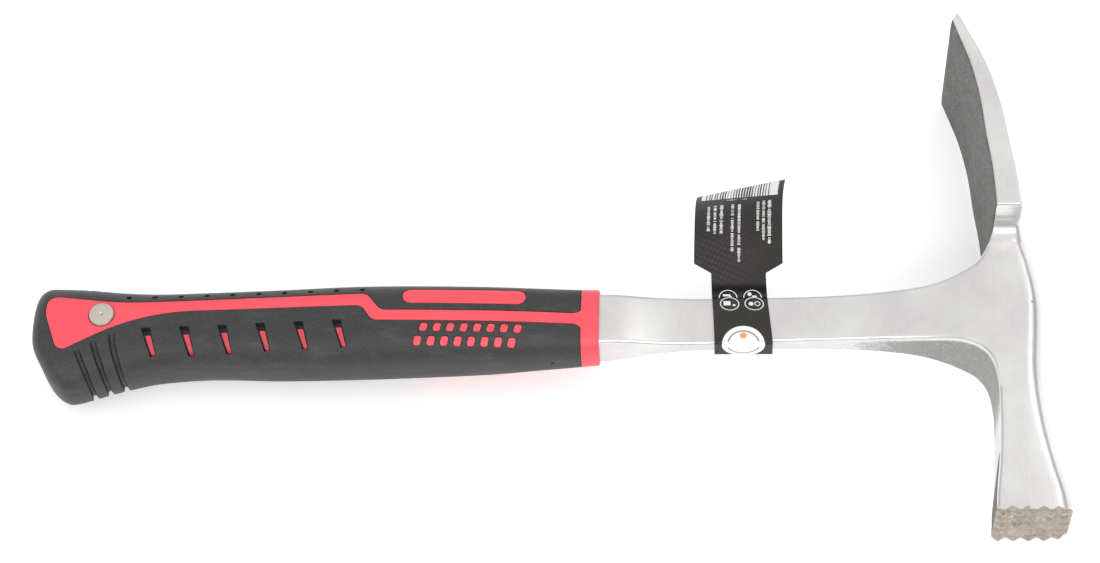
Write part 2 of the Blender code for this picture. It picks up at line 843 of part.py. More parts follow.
steel = make_material("forged_steel", (0.62, 0.62, 0.62), 0.32, 1.0)
red_plastic = make_material("red_plastic", (0.9, 0.07, 0.1), 0.45, 0.0)
black_rubber = make_material("black_rubber", (0.045, 0.05, 0.047), 0.75, 0.0)
rivet_steel = make_material("rivet_steel", (0.66, 0.63, 0.58), 0.4, 1.0)
black_card = make_material("black_card", (0.035, 0.03, 0.032), 0.5, 0.0)
white_label = make_material("white_label", (0.85, 0.85, 0.84), 0.4, 0.0)

make_forging(parts, tools, steel)
make_sleeve(parts, tools, black_rubber)
make_core(parts, tools, red_plastic)
make_rivet(parts, rivet_steel)
make_card(parts, black_card)
make_seal(parts, white_label)
stand_on_origin(parts)
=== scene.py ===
import math

import bmesh
import bpy
import numpy as np
from mathutils import Matrix, Vector, noise


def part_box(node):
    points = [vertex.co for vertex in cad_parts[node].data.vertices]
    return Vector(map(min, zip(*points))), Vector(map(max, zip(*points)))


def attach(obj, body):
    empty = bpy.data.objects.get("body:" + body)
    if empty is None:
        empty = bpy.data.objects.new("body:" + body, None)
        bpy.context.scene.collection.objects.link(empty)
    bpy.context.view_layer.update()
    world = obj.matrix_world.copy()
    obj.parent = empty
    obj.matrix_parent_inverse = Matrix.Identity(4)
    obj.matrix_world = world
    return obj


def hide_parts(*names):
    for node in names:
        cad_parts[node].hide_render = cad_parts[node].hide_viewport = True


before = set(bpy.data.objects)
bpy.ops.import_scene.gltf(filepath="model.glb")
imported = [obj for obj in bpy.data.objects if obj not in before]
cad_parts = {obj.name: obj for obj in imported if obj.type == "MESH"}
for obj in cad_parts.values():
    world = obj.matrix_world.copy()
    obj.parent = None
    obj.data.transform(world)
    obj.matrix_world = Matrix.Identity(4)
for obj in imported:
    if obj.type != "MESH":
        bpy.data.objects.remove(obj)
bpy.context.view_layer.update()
scene = bpy.context.scene
mm = 0.001

# Tables below are in millimetres on the hammer's own lines: X from the pommel, Y from the shank's
# centre line, Z from the mid-plane. originShift puts them where the forging lies in the frame.
forgingLow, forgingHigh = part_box("forging")
originShift = Vector((forgingHigh.x - 329.9 * mm, forgingLow.y + 70.0 * mm, forgingLow.z + 25.5 * mm))


def place(point):
    return Vector(point) * mm + originShift


def smoothTable(rows, x):
    # Smooth value of every column at x, through all the rows
    last = len(rows) - 1
    index = 0
    while index < last - 1 and x > rows[index + 1][0]:
        index += 1

    def slope(at, column):
        low, high = rows[max(at - 1, 0)], rows[min(at + 1, last)]
        return (high[column] - low[column]) / (high[0] - low[0])

    start, end = rows[index], rows[index + 1]
    span = end[0] - start[0]
    t = min(max((x - start[0]) / span, 0.0), 1.0)
    atStart, leaving = (1 + 2 * t) * (1 - t) ** 2, t * (1 - t) ** 2 * span
    atEnd, arriving = t * t * (3 - 2 * t), t * t * (t - 1) * span
    return [atStart * start[c] + leaving * slope(index, c) + atEnd * end[c] + arriving * slope(index + 1, c)
            for c in range(1, len(start))]


def ramp(value, low, high):
    t = min(max((value - low) / (high - low), 0.0), 1.0)
    return t * t * (3 - 2 * t)


def newPiece(name, verts, faces, turnOut=True):
    mesh = bpy.data.meshes.new(name)
    mesh.from_pydata([place(v) for v in verts], [], faces)
    work = bmesh.new()
    work.from_mesh(mesh)
    bmesh.ops.remove_doubles(work, verts=work.verts, dist=0.000002)
    if turnOut:
        bmesh.ops.recalc_face_normals(work, faces=work.faces)
    work.to_mesh(mesh)
    work.free()
    piece = bpy.data.objects.new(name, mesh)
    scene.collection.objects.link(piece)
    return piece


def applyAll(piece):
    # Modifiers become plain mesh
    bpy.context.view_layer.update()
    graph = bpy.context.evaluated_depsgraph_get()
    mesh = bpy.data.meshes.new_from_object(piece.evaluated_get(graph))
    piece.modifiers.clear()
    piece.data = mesh
    mesh.name = piece.name
    return piece


def toTriangles(piece):
    # A bent quad makes the exact solver lose faces
    work = bmesh.new()
    work.from_mesh(piece.data)
    bmesh.ops.triangulate(work, faces=work.faces)
    work.to_mesh(piece.data)
    work.free()


def cutWith(piece, cutter, operation="DIFFERENCE", split=True):
    if split:
        toTriangles(piece)
    modifier = piece.modifiers.new(cutter.name, "BOOLEAN")
    modifier.operation = operation
    modifier.solver = "EXACT"
    modifier.object = cutter
    applyAll(piece)
    bpy.data.objects.remove(cutter)
    return piece


def softEdges(piece, angle):
    piece.data.shade_smooth()
    piece.data.set_sharp_from_angle(angle=math.radians(angle))
    return piece


def joinPieces(name, pieces):
    work = bmesh.new()
    for piece in pieces:
        work.from_mesh(piece.data)
        bpy.data.objects.remove(piece)
    mesh = bpy.data.meshes.new(name)
    work.to_mesh(mesh)
    work.free()
    joined = bpy.data.objects.new(name, mesh)
    scene.collection.objects.link(joined)
    return joined


def setMask(piece, name, values):
    attribute = piece.data.attributes.get(name) or piece.data.attributes.new(name, "FLOAT", "POINT")
    attribute.data.foreach_set("value", np.asarray(values, np.float32))


# Geometry Nodes trees, for small shapes that repeat


class TreeBuilder:
    def __init__(self, name, inputs):
        self.tree = bpy.data.node_groups.new(name, "GeometryNodeTree")
        self.tree.interface.new_socket("Geometry", in_out="OUTPUT", socket_type="NodeSocketGeometry")
        self.sockets = {}
        for label, kind, value in inputs:
            socket = self.tree.interface.new_socket(label, in_out="INPUT", socket_type=kind)
            if value is not None:
                socket.default_value = value
            self.sockets[label] = socket
        self.entry = self.tree.nodes.new("NodeGroupInput")
        self.exit = self.tree.nodes.new("NodeGroupOutput")

    def node(self, kind, links=None, **settings):
        made = self.tree.nodes.new(kind)
        for key, value in settings.items():
            setattr(made, key, value)
        for key, value in (links or {}).items():
            self.feed(made.inputs[key], value)
        return made

    def feed(self, socket, value):
        if isinstance(value, str):
            self.tree.links.new(self.entry.outputs[value], socket)
        elif isinstance(value, bpy.types.NodeSocket):
            self.tree.links.new(value, socket)
        elif isinstance(value, bpy.types.Node):
            self.tree.links.new(value.outputs[0], socket)
        else:
            socket.default_value = value

    def math(self, operation, a, b=0.0):
        made = self.tree.nodes.new("ShaderNodeMath")
        made.operation = operation
        self.feed(made.inputs[0], a)
        self.feed(made.inputs[1], b)
        return made.outputs[0]

    def vector(self, x=0.0, y=0.0, z=0.0):
        made = self.tree.nodes.new("ShaderNodeCombineXYZ")
        for socket, value in zip(made.inputs, (x, y, z)):
            self.feed(socket, value)
        return made.outputs[0]

    def close(self, geometry, material="Material"):
        # Realize Instances, then Set Material, at the end of every tree
        real = self.node("GeometryNodeRealizeInstances", {"Geometry": geometry})
        paint = self.node("GeometryNodeSetMaterial", {"Geometry": real, "Material": material})
        self.tree.links.new(paint.outputs[0], self.exit.inputs[0])
        return self


def growPiece(name, builder, values, material):
    # The tree's result as a plain mesh, in metres
    seed = bpy.data.objects.new(name, bpy.data.meshes.new(name))
    scene.collection.objects.link(seed)
    modifier = seed.modifiers.new("grow", "NODES")
    modifier.node_group = builder.tree
    for label, value in values.items():
        modifier[builder.sockets[label].identifier] = value
    modifier[builder.sockets["Material"].identifier] = material
    return applyAll(seed)


# Shader groups that several finishes share


def shaderGroup(name, inputs, outputs):
    group = bpy.data.node_groups.new(name, "ShaderNodeTree")
    for label, value in inputs:
        kind = "NodeSocketVector" if label == "Vector" else "NodeSocketFloat"
        socket = group.interface.new_socket(label, in_out="INPUT", socket_type=kind)
        if label != "Vector":
            socket.default_value = value
    for label in outputs:
        group.interface.new_socket(label, in_out="OUTPUT", socket_type="NodeSocketFloat")
    return group, group.nodes.new("NodeGroupInput"), group.nodes.new("NodeGroupOutput")


def wire(tree, kind, links, **settings):
    # One node with its inputs wired or set
    made = tree.nodes.new(kind)
    for key, value in settings.items():
        setattr(made, key, value)
    for key, value in links.items():
        socket = made.inputs[key]
        if isinstance(value, bpy.types.NodeSocket):
            tree.links.new(value, socket)
        elif isinstance(value, bpy.types.Node):
            tree.links.new(value.outputs[0], socket)
        else:
            socket.default_value = value
    return made


def makeSpeckle():
    # Fine grain of a moulded or printed skin: grain, sparse pale specks and a slow cloud
    group, entry, leave = shaderGroup(
        "skinSpeckle", [("Vector", None), ("GrainScale", 2600.0), ("SpeckScale", 900.0), ("SpeckAmount", 0.2),
                        ("CloudScale", 40.0)], ["Grain", "Specks", "Cloud"])

    def cloudy(scale, detail, roughness):
        return wire(group, "ShaderNodeTexNoise", {
            "Vector": entry.outputs["Vector"], "Scale": entry.outputs[scale], "Detail": detail,
            "Roughness": roughness})

    grain, fleck = cloudy("GrainScale", 3.0, 0.6), cloudy("SpeckScale", 2.0, 0.7)
    edge = wire(group, "ShaderNodeMath", {0: 0.78, 1: entry.outputs["SpeckAmount"]}, operation="SUBTRACT")
    above = wire(group, "ShaderNodeMath", {0: fleck.outputs[0], 1: edge}, operation="SUBTRACT")
    specks = wire(group, "ShaderNodeMath", {0: above, 1: 9.0}, operation="MULTIPLY", use_clamp=True)
    for label, source in (("Grain", grain), ("Specks", specks), ("Cloud", cloudy("CloudScale", 4.0, 0.55))):
        group.links.new(source.outputs[0], leave.inputs[label])
    return group


def makeGrind():
    # Lines of a grinding belt, drawn out along one axis
    group, entry, leave = shaderGroup(
        "grindLines", [("Vector", None), ("Scale", 1500.0), ("Stretch", 0.03)], ["Lines"])
    flat = wire(group, "ShaderNodeCombineXYZ", {"X": 1.0, "Y": entry.outputs["Stretch"], "Z": 1.0})
    drawn = wire(group, "ShaderNodeVectorMath", {0: entry.outputs["Vector"], 1: flat}, operation="MULTIPLY")
    lines = wire(group, "ShaderNodeTexNoise", {"Vector": drawn, "Scale": entry.outputs["Scale"],
                                               "Detail": 4.0, "Roughness": 0.65})
    group.links.new(lines.outputs[0], leave.inputs["Lines"])
    return group


skinSpeckle = makeSpeckle()
grindLines = makeGrind()


def newFinish(name, **constants):
    # Principled material with its constant values on the shader's own sockets
    material = bpy.data.materials.new(name)
    material.use_nodes = True
    shader = material.node_tree.nodes["Principled BSDF"]
    for key, value in constants.items():
        socket = shader.inputs[key.replace("_", " ")]
        socket.default_value = (*value, 1.0) if isinstance(value, tuple) else value
    return material, material.node_tree, shader


def objectSpace(tree):
    return tree.nodes.new("ShaderNodeTexCoord").outputs["Object"]


def blendColour(tree, factor, low, high):
    made = tree.nodes.new("ShaderNodeMix")
    made.data_type = "RGBA"
    for index, value in ((0, factor), (6, low), (7, high)):
        if isinstance(value, bpy.types.NodeSocket):
            tree.links.new(value, made.inputs[index])
        elif isinstance(value, tuple):
            made.inputs[index].default_value = (*value, 1.0)
        else:
            made.inputs[index].default_value = value
    return made.outputs[2]


def span(tree, value, low, high, toLow, toHigh, smooth=False):
    made = wire(tree, "ShaderNodeMapRange", {"Value": value, "From Min": low, "From Max": high,
                                             "To Min": toLow, "To Max": toHigh})
    made.interpolation_type = "SMOOTHSTEP" if smooth else "LINEAR"
    return made.outputs[0]


def calc(tree, operation, a, b=0.0, c=0.0):
    made = wire(tree, "ShaderNodeMath", {0: a, 1: b, 2: c}, operation=operation)
    return made.outputs[0]


def addBump(tree, shader, height, strength, distance):
    bump = wire(tree, "ShaderNodeBump", {"Height": height, "Strength": strength, "Distance": distance})
    tree.links.new(bump.outputs[0], shader.inputs["Normal"])


def mask(tree, name):
    return wire(tree, "ShaderNodeAttribute", {}, attribute_name=name).outputs["Fac"]


def speckled(tree, space, grain, speck, amount, cloud):
    # The shared skin at a finish's own scales
    return wire(tree, "ShaderNodeGroup", {"Vector": space, "GrainScale": grain, "SpeckScale": speck,
                                          "SpeckAmount": amount, "CloudScale": cloud}, node_tree=skinSpeckle)


def paint(tree, shader, colour, skin, smoothest, roughest):
    # The colour, and a roughness that follows the skin's grain
    tree.links.new(colour, shader.inputs["Base Color"])
    roughness = span(tree, skin.outputs["Grain"], 0.3, 0.7, smoothest, roughest)
    tree.links.new(roughness, shader.inputs["Roughness"])


# Forging: head, blade, poll, shank and tang in one skin

steelSizes = {
    "faceY": -70.0, "tipY": 102.8, "tipBevel": 3.2, "headHalf": 12.0, "bladeHalf": 25.5,
    "shoulderY": 29.0, "shoulderRadius": 5.5,
    "pollBreak": 1.4, "bladeBreak": 0.8, "shankBreak": 1.25,
    "chamferWide": 5.2, "chamferDeep": 3.4,
    "rootLow": -27.0, "rootHigh": 23.5, "rootX": 309.6, "rootLean": 0.6, "flareX": 298.0,
    "tangEnd": 14.0, "tangLow": -8.0, "tangHigh": 4.5, "tangHalf": 4.2, "step": 181.0,
    "wallRows": 26, "middleCount": 9, "hubPit": (321.2, 1.6, 11.4),
}
innerShares = (0.0, 0.08, 0.22, 0.45, 0.7, 1.0)
outerShares = (1.0, 0.88, 0.76, 0.64, 0.52, 0.41, 0.31, 0.22, 0.14, 0.07, 0.0)
edgeOffsets = (0.0, 0.12, 0.35, 0.7, 1.1)
headRows = (
    (-70.0, 306.6, 329.9), (-64.0, 307.1, 329.2), (-54.0, 308.3, 326.9), (-44.0, 309.1, 325.0),
    (-33.0, 309.5, 323.6), (-21.0, 309.7, 323.0), (-8.0, 310.2, 323.8), (3.0, 310.4, 324.2),
    (14.0, 310.2, 322.8), (23.5, 309.0, 320.6), (26.5, 309.9, 319.4), (29.0, 310.4, 318.7),
    (37.0, 310.2, 318.0), (46.0, 309.6, 317.1), (56.0, 308.4, 315.7), (66.0, 307.6, 314.3),
    (75.0, 306.4, 312.4),
    (84.5, 304.4, 309.7), (93.0, 301.8, 306.2), (96.3, 300.75, 304.7), (99.6, 299.7, 301.8),
)
shankUpper = (
    (181.0, 7.7), (192.0, 8.0), (205.0, 8.4), (220.0, 8.6), (240.0, 8.6), (262.0, 9.0), (280.0, 9.8),
    (291.0, 10.9), (298.0, 12.8), (303.0, 15.4), (306.6, 19.0), (309.0, 23.5),
)
shankLower = (
    (181.0, -10.2), (192.0, -9.6), (205.0, -8.9), (220.0, -8.3), (240.0, -7.8), (262.0, -7.6), (280.0, -8.0),
    (291.0, -9.1), (298.0, -10.6), (303.4, -12.9), (306.4, -15.6), (308.4, -19.4), (309.3, -23.6),
    (309.6, -27.0),
)
shankHalf = (
    (181.0, 7.1), (188.0, 6.95), (193.0, 6.2), (200.0, 4.5), (208.0, 3.2), (217.0, 2.55), (230.0, 2.9),
    (248.0, 3.3), (265.0, 4.05), (280.0, 5.6), (288.0, 6.95), (295.0, 9.1), (301.0, 11.0), (308.0, 11.9),
    (316.0, 12.0),
)


def headSections():
    # Rows along the head: Y, inner X, outer X, half width, chamfer's width and depth, tip's lift
    s = steelSizes
    below = [s["faceY"], s["faceY"] + 0.5, s["faceY"] + 1.2]
    below += list(np.arange(s["faceY"] + 2.6, s["rootLow"] - 0.7, 1.45))
    inRoot = [s["rootLow"] + d for d in (0.0, 0.15, 0.35, 0.7)]
    inRoot += list(np.linspace(s["rootLow"] + 1.4, s["rootHigh"] - 1.4, 36))
    inRoot += [s["rootHigh"] - d for d in (0.7, 0.35, 0.15, 0.0)]
    rows = []
    for y in below + inRoot:
        inner, outer = smoothTable(headRows, y)
        rows.append((y, inner, outer, s["headHalf"], s["chamferWide"], s["chamferDeep"], 0.0))
    for turn in range(8, 91, 8):
        angle = math.radians(turn)
        share = math.sin(angle)
        y = s["shoulderY"] - s["shoulderRadius"] * (1 - share)
        inner, outer = smoothTable(headRows, y)
        wide = s["chamferWide"] * (1 - share) + s["bladeBreak"] * share
        deep = s["chamferDeep"] * (1 - share) + s["bladeBreak"] * share
        half = s["headHalf"] + s["shoulderRadius"] * (1 - math.cos(angle))
        rows.append((y, inner, outer, half, wide, deep, 0.0))
    inner, outer = smoothTable(headRows, s["shoulderY"])
    edge = s["bladeBreak"]
    top = s["bladeHalf"] - edge
    for index, half in enumerate(np.linspace(s["headHalf"] + s["shoulderRadius"] + 0.6, top, 6)):
        rows.append((s["shoulderY"] + 0.02 * index, inner, outer, half, edge, edge, 0.0))
    for turn in (22, 45, 68, 90):
        angle = math.radians(turn)
        y = s["shoulderY"] + 0.12 + edge * (1 - math.cos(angle))
        rows.append((y, inner, outer, top + edge * math.sin(angle), edge, edge, 0.0))
    last = s["tipY"] - s["tipBevel"]
    for y in list(np.arange(s["shoulderY"] + 1.6, last - 0.6, 1.3)) + [last]:
        inner, outer = smoothTable(headRows, y)
        lift = s["tipBevel"] * ramp(y, last - 4.0, last)
        rows.append((y, inner, outer, s["bladeHalf"], edge, edge, lift))
    return rows, len(below), len(below) + len(inRoot) - 1


def rounding(distance, radius):
    # How far a rounded edge has fallen at a distance from it
    if distance >= radius:
        return 0.0
    return radius - math.sqrt(max(radius ** 2 - (radius - distance) ** 2, 0.0))


def addHead(points, rows, rootFrom, rootTo):
    # Rows across the head's near side, from its inner edge to its chamfered outer edge
    s = steelSizes
    grid = []
    for at, (y, inner, outer, half, wide, deep, lift) in enumerate(rows):
        width = outer - inner
        inZone = min(1.5, width * 0.28)
        outZone = min(max(wide, 1.2), width * 0.42)
        spots = [inner + inZone * share for share in innerShares]
        spots += list(np.linspace(inner + inZone, outer - outZone, s["middleCount"] + 2)[1:-1])
        spots += [outer - outZone * share for share in outerShares]
        edgeRadius = s["pollBreak"] if y < s["shoulderY"] - s["shoulderRadius"] else s["bladeBreak"]
        line = []
        for x in spots:
            z = half - deep * max(0.0, 1 - (outer - x) / wide) ** 2.8
            if y < -10:
                # Softly ground second facet on the poll
                z -= 0.55 * ramp(-y, 10, 40) * max(0.0, (x - 317.0) / (outer - 317.0)) ** 1.5
            if not rootFrom <= at <= rootTo:
                z -= rounding(x - inner, min(edgeRadius, width * 0.28))
            line.append(len(points))
            points.append([x, y + lift * (x - inner) / width, z])
        grid.append(line)
    return grid


def addShank(points):
    # Columns along the tang and the shank, their nodes spaced as the head's rows in the root are
    s = steelSizes
    tangXs = [s["tangEnd"], s["tangEnd"] + 0.6, s["tangEnd"] + 2.0, 22.9, 25.9, 28.9, 60.0, 100.0, 140.0]
    tangXs.append(178.0)
    shankXs = list(np.arange(s["step"], s["flareX"], 1.5)) + list(np.arange(s["flareX"], 306.5, 0.85))
    shankXs += [306.9, 307.5, 308.0, 308.4, 308.75, 309.05, 309.25, 309.42]
    columns = [(x, True) for x in tangXs + [s["step"]]] + [(float(x), False) for x in shankXs]
    grid = []
    for x, isTang in columns:
        bend = 0.0 if isTang else s["rootLean"] * ramp(x, s["flareX"], s["rootX"])
        if isTang:
            corner = max(0.0, 4.0 - (x - s["tangEnd"])) * 0.35
            low, high, half = s["tangLow"] + corner, s["tangHigh"] - corner, s["tangHalf"]
        else:
            low, high = smoothTable(shankLower, x)[0], smoothTable(shankUpper, x - bend)[0]
            half = smoothTable(shankHalf, x)[0]
        tall = high - low
        nodes = list(edgeOffsets) + list(np.linspace(1.6, tall - 1.6, 34))
        nodes += [tall - d for d in edgeOffsets[::-1]]
        slope = 1.0 if x < s["flareX"] else 1.0 - 0.55 * ramp(x, s["flareX"], 306)
        shankRadius = s["shankBreak"] + (s["pollBreak"] - s["shankBreak"]) * ramp(x, 285, 309)
        line = []
        for d in nodes:
            share = d / tall
            z = half - rounding(min(d, tall - d) * slope, 0.3 if isTang else shankRadius)
            # Faces of the shank are barely crowned
            crown = 0.0 if isTang else 0.12 * (2 * share - 1) ** 2 * (1 - ramp(x, 270, 300))
            line.append(len(points))
            points.append([x - bend * share, low + d, z - crown])
        grid.append(line)
    return grid


def wallSink(x, y, z, share):
    # How far the wall stands in from the line of its edges, with a little life in it
    depth = z * share
    taper = 1 - share ** 8
    inner = 296.0 < x < 311.5
    if inner and y > 24:
        return 0.22 * taper + 0.16 * taper * noise.noise(Vector((y * 0.12, depth * 0.12, 3.0)))
    if inner and y < -15:
        cut = -47.0 - 0.9 * (12.0 - depth)
        return 0.45 * ramp(cut - y, 0.0, 2.2) * ramp(y, -69.0, -64.0) * taper
    if x > 283.0 and y < 0:
        return 0.12 * taper * noise.noise(Vector((x * 0.2, y * 0.2 + depth * 0.25, 7.0)))
    return 0.0


def outlineLoop(head, shank, rootFrom, rootTo):
    # Indices once round the hammer's outline
    loop = [line[0] for line in head[:rootFrom]]
    loop += [line[0] for line in shank[::-1]] + shank[0][1:-1] + [line[-1] for line in shank]
    loop += [line[0] for line in head[rootTo + 1:]] + head[-1][1:-1]
    return loop + [line[-1] for line in head[::-1]] + head[0][1:-1][::-1]


def forgeSteel():
    s = steelSizes
    rows, rootFrom, rootTo = headSections()
    points = []
    head = addHead(points, rows, rootFrom, rootTo)
    shank = addShank(points)
    # The head's inner edge in the root is the shank's last column
    root = [line[0] for line in head[rootFrom:rootTo + 1]]
    for index in root:
        y = points[index][1]
        points[index][0] = s["rootX"] - s["rootLean"] * ((y - s["rootLow"]) / (s["rootHigh"] - s["rootLow"]))
        away = min(y - s["rootLow"], s["rootHigh"] - y) * 0.6
        points[index][2] = s["headHalf"] - rounding(away, s["pollBreak"])
    shank.append(root)
    count = len(points)
    faces = []
    for grid in (head, shank):
        for before, after in zip(grid, grid[1:]):
            for b in range(len(before) - 1):
                quad = (before[b], after[b], after[b + 1], before[b + 1])
                faces.append(quad)
                faces.append(tuple(index + count for index in reversed(quad)))
    loop = outlineLoop(head, shank, rootFrom, rootTo)
    total, wallRows = len(loop), s["wallRows"]
    verts = points + [[x, y, -z] for x, y, z in points]
    wallStart = len(verts)
    for k, index in enumerate(loop):
        x, y, z = points[index]
        before, after = points[loop[k - 1]], points[loop[(k + 1) % total]]
        along = Vector((after[0] - before[0], after[1] - before[1]))
        normal = Vector((-along.y, along.x)).normalized() if along.length > 1e-6 else Vector((0.0, 0.0))
        for row in range(1, wallRows):
            share = 1 - 2 * row / wallRows
            sink = wallSink(x, y, z, share)
            verts.append([x + normal.x * sink, y + normal.y * sink, z * share])

    def wallVertex(column, level):
        if level == 0:
            return loop[column]
        if level == wallRows:
            return loop[column] + count
        return wallStart + column * (wallRows - 1) + level - 1

    for k in range(total):
        following = (k + 1) % total
        for row in range(wallRows):
            faces.append((wallVertex(k, row), wallVertex(k, row + 1), wallVertex(following, row + 1),
                          wallVertex(following, row)))
    return newPiece("forgedHammer", verts, faces)


forged = forgeSteel()
print("forging skin", len(forged.data.polygons))

# Striking face: crossed V grooves leave rows of pyramids

waffle = {"rows": 5, "pitch": 4.7, "depth": 1.2, "land": 0.45, "clear": 0.1}


def grooveTree():
    # Parallel V-shaped bars, made from three-sided cylinders
    tree = TreeBuilder("waffleGrooves", [
        ("Count", "NodeSocketInt", 6), ("Pitch", "NodeSocketFloat", 0.0047),
        ("HalfMouth", "NodeSocketFloat", 0.003), ("Tall", "NodeSocketFloat", 0.0018),
        ("Long", "NodeSocketFloat", 0.04), ("Material", "NodeSocketMaterial", None)])
    bar = tree.node("GeometryNodeMeshCylinder", {"Vertices": 3, "Radius": 1.0, "Depth": "Long"},
                    fill_type="NGON")
    # A three-sided bar of radius one is 1.5 from mouth to tip and 0.866 to each side of it
    side = tree.math("DIVIDE", "HalfMouth", math.sqrt(3) / 2)
    size = tree.vector(tree.math("DIVIDE", "Tall", 1.5), side, 1.0)
    flat = tree.node("GeometryNodeTransform", {"Geometry": bar.outputs["Mesh"], "Scale": size})
    line = tree.node("GeometryNodeMeshLine", {"Count": "Count", "Offset": tree.vector(0.0, "Pitch", 0.0)})
    bars = tree.node("GeometryNodeInstanceOnPoints", {"Points": line, "Instance": flat})
    return tree.close(bars.outputs[0])


def grooveCutter(tree, name, turn, count):
    w = waffle
    halfMouth = (w["pitch"] - w["land"]) / 2 * (1 + w["clear"] / w["depth"])
    tall = w["depth"] + w["clear"]
    cutter = growPiece(name, tree, {"Count": count, "Pitch": w["pitch"] * mm, "HalfMouth": halfMouth * mm,
                                    "Tall": tall * mm, "Long": 0.034}, plain)
    # Each bar runs along Z, stands in a row along Y and has its tip on +X; the tips end up inside the face
    start = ((w["depth"] - tall * 2 / 3) * mm, -(count - 1) / 2 * w["pitch"] * mm, 0.0)
    cutter.data.transform(Matrix.Translation(start))
    cutter.data.transform(turn)
    cutter.data.transform(Matrix.Translation(place((faceMiddle, steelSizes["faceY"], 0.0))))
    turnOutwards(cutter)
    return cutter


def turnOutwards(piece):
    work = bmesh.new()
    work.from_mesh(piece.data)
    bmesh.ops.recalc_face_normals(work, faces=work.faces)
    work.to_mesh(piece.data)
    work.free()
    piece.data.update()


def tube(name, x, y, low, high, radius, sides=48):
    # Plain round bar along Z, for bores and seats
    ring = [(x + radius * math.cos(2 * math.pi * k / sides), y + radius * math.sin(2 * math.pi * k / sides))
            for k in range(sides)]
    verts = [(*point, low) for point in ring] + [(*point, high) for point in ring]
    faces = [(k, (k + 1) % sides, sides + (k + 1) % sides, sides + k) for k in range(sides)]
    faces += [tuple(range(sides)), tuple(range(sides, 2 * sides))]
    return newPiece(name, verts, faces)


plain = bpy.data.materials.new("plain")
faceMiddle = (306.6 + 329.9) / 2
rivetSizes = {"x": 25.5, "y": -2.6, "headRadius": 4.1, "seat": 11.9, "gap": 0.3, "tall": 1.3, "stem": 2.4,
              "spigot": 1.5, "spigotLong": 6.0, "spigotGap": 0.15, "tangRoom": 0.5}
grooves = grooveTree()
downwards = Matrix.Rotation(math.radians(90), 4, "Z")
crosswise = Matrix(((0, 0, 1, 0), (1, 0, 0, 0), (0, 1, 0, 0), (0, 0, 0, 1)))
# Made into triangles once, for all three cuts
toTriangles(forged)
cutWith(forged, grooveCutter(grooves, "grooveDown", downwards, waffle["rows"] + 1), split=False)
cutWith(forged, grooveCutter(grooves, "grooveAcross", crosswise, waffle["rows"]), split=False)
cutWith(forged, tube("tangBore", rivetSizes["x"], rivetSizes["y"], -20.0, 20.0,
                     rivetSizes["stem"] + rivetSizes["tangRoom"]), split=False)
softEdges(forged, 50)
print("forging cut", len(forged.data.polygons))


def rawPoints(piece):
    co = np.zeros(len(piece.data.vertices) * 3, np.float32)
    piece.data.vertices.foreach_get("co", co)
    return (co.reshape(-1, 3) - np.array(originShift)) / mm


def shadeForging():
    # darkSkin: the forge's skin is left; the second mask is painted shade, darker towards the shank's root on
    # its lower and upper sides and on the poll's inner side
    dark, root = [], []
    for x, y, z in rawPoints(forged):
        value, half = 0.0, 0.0
        if y > 23.5:
            inner = smoothTable(headRows, y)[0]
            if x - inner < 0.35 and y < 101.0:
                value = ramp(0.35 - (x - inner), 0.0, 0.2)
        elif x > 230.0 and x < 311.5:
            low = smoothTable(shankLower, min(x, steelSizes["rootX"]))[0]
            high = smoothTable(shankUpper, min(x, 309.0))[0]
            thick = smoothTable(shankHalf, x)[0]
            inner = smoothTable(headRows, y)[0] if abs(y) > 15 else 400.0
            # Painted shade on the shank's lower side, growing towards the head and away from the near edge
            if y < low + 0.6 and y > -27.5 and x < 310.0:
                half = ramp(x, 244.0, 292.0) * ramp(thick - 1.2 - z, 0.0, 1.5)
            elif y > high - 0.6 and x < 310.0:
                half = ramp(x, 262.0, 296.0) * ramp(thick - 1.2 - z, 0.0, 1.5)
                value = ramp(x, 296.0, 306.0) * ramp(thick - 1.0 - z, 0.0, 1.5)
            elif y < -27.0 and x - inner < 0.8:
                cut = -47.0 - 0.9 * (12.0 - z)
                half = ramp(y, -46.0, -26.0) * ramp(10.8 - abs(z), 0.0, 1.0)
                if y < cut + 0.3 and abs(z) < 10.6:
                    value = 1.0
        dark.append(value)
        root.append(half)
    setMask(forged, "darkSkin", dark)
    setMask(forged, "rootSkin", root)
    forged.data.materials.clear()


shadeForging()

# Grip: rubber sleeve over a red core

gripSizes = {"end": 2.0, "sleeveEnd": 178.9, "gap": 0.2, "collar": 5.7, "collarBevel": 0.6, "wall": 3.0,
             "setDown": 0.1, "power": 2.5, "radius": 5.5, "slope": 0.68, "reach": 60.0, "hingeY": -12.0,
             "soft": 4.0}
grooveSizes = {"first": 16.6, "pitch": 6.2, "depth": 1.3, "half": 1.15, "tops": (-14.5, -11.3, -8.7),
               "notches": (19.2, 23.4), "notchDepth": 0.55, "notchHalf": 0.8}
gripRows = (
    (0.0, -7.9, 19.8, 12.4), (10.0, -7.35, 18.9, 13.0), (20.0, -6.4, 17.4, 13.0), (30.0, -5.7, 15.6, 12.8),
    (42.0, -4.8, 14.1, 12.6), (60.0, -3.9, 13.7, 12.5), (82.0, -3.65, 14.3, 12.8), (105.0, -2.9, 14.65, 13.0),
    (125.0, -2.45, 14.45, 12.8), (150.0, -2.05, 13.8, 12.0), (165.0, -1.65, 13.0, 11.0),
    (178.0, -1.3, 12.4, 9.9), (200.0, -0.4, 11.4, 9.2),
)


def leanForward(x, y):
    slope = gripSizes["slope"] * max(0.0, 1 - x / gripSizes["reach"])
    below = gripSizes["hingeY"] - y
    return slope * (below + math.hypot(below, gripSizes["soft"])) / 2


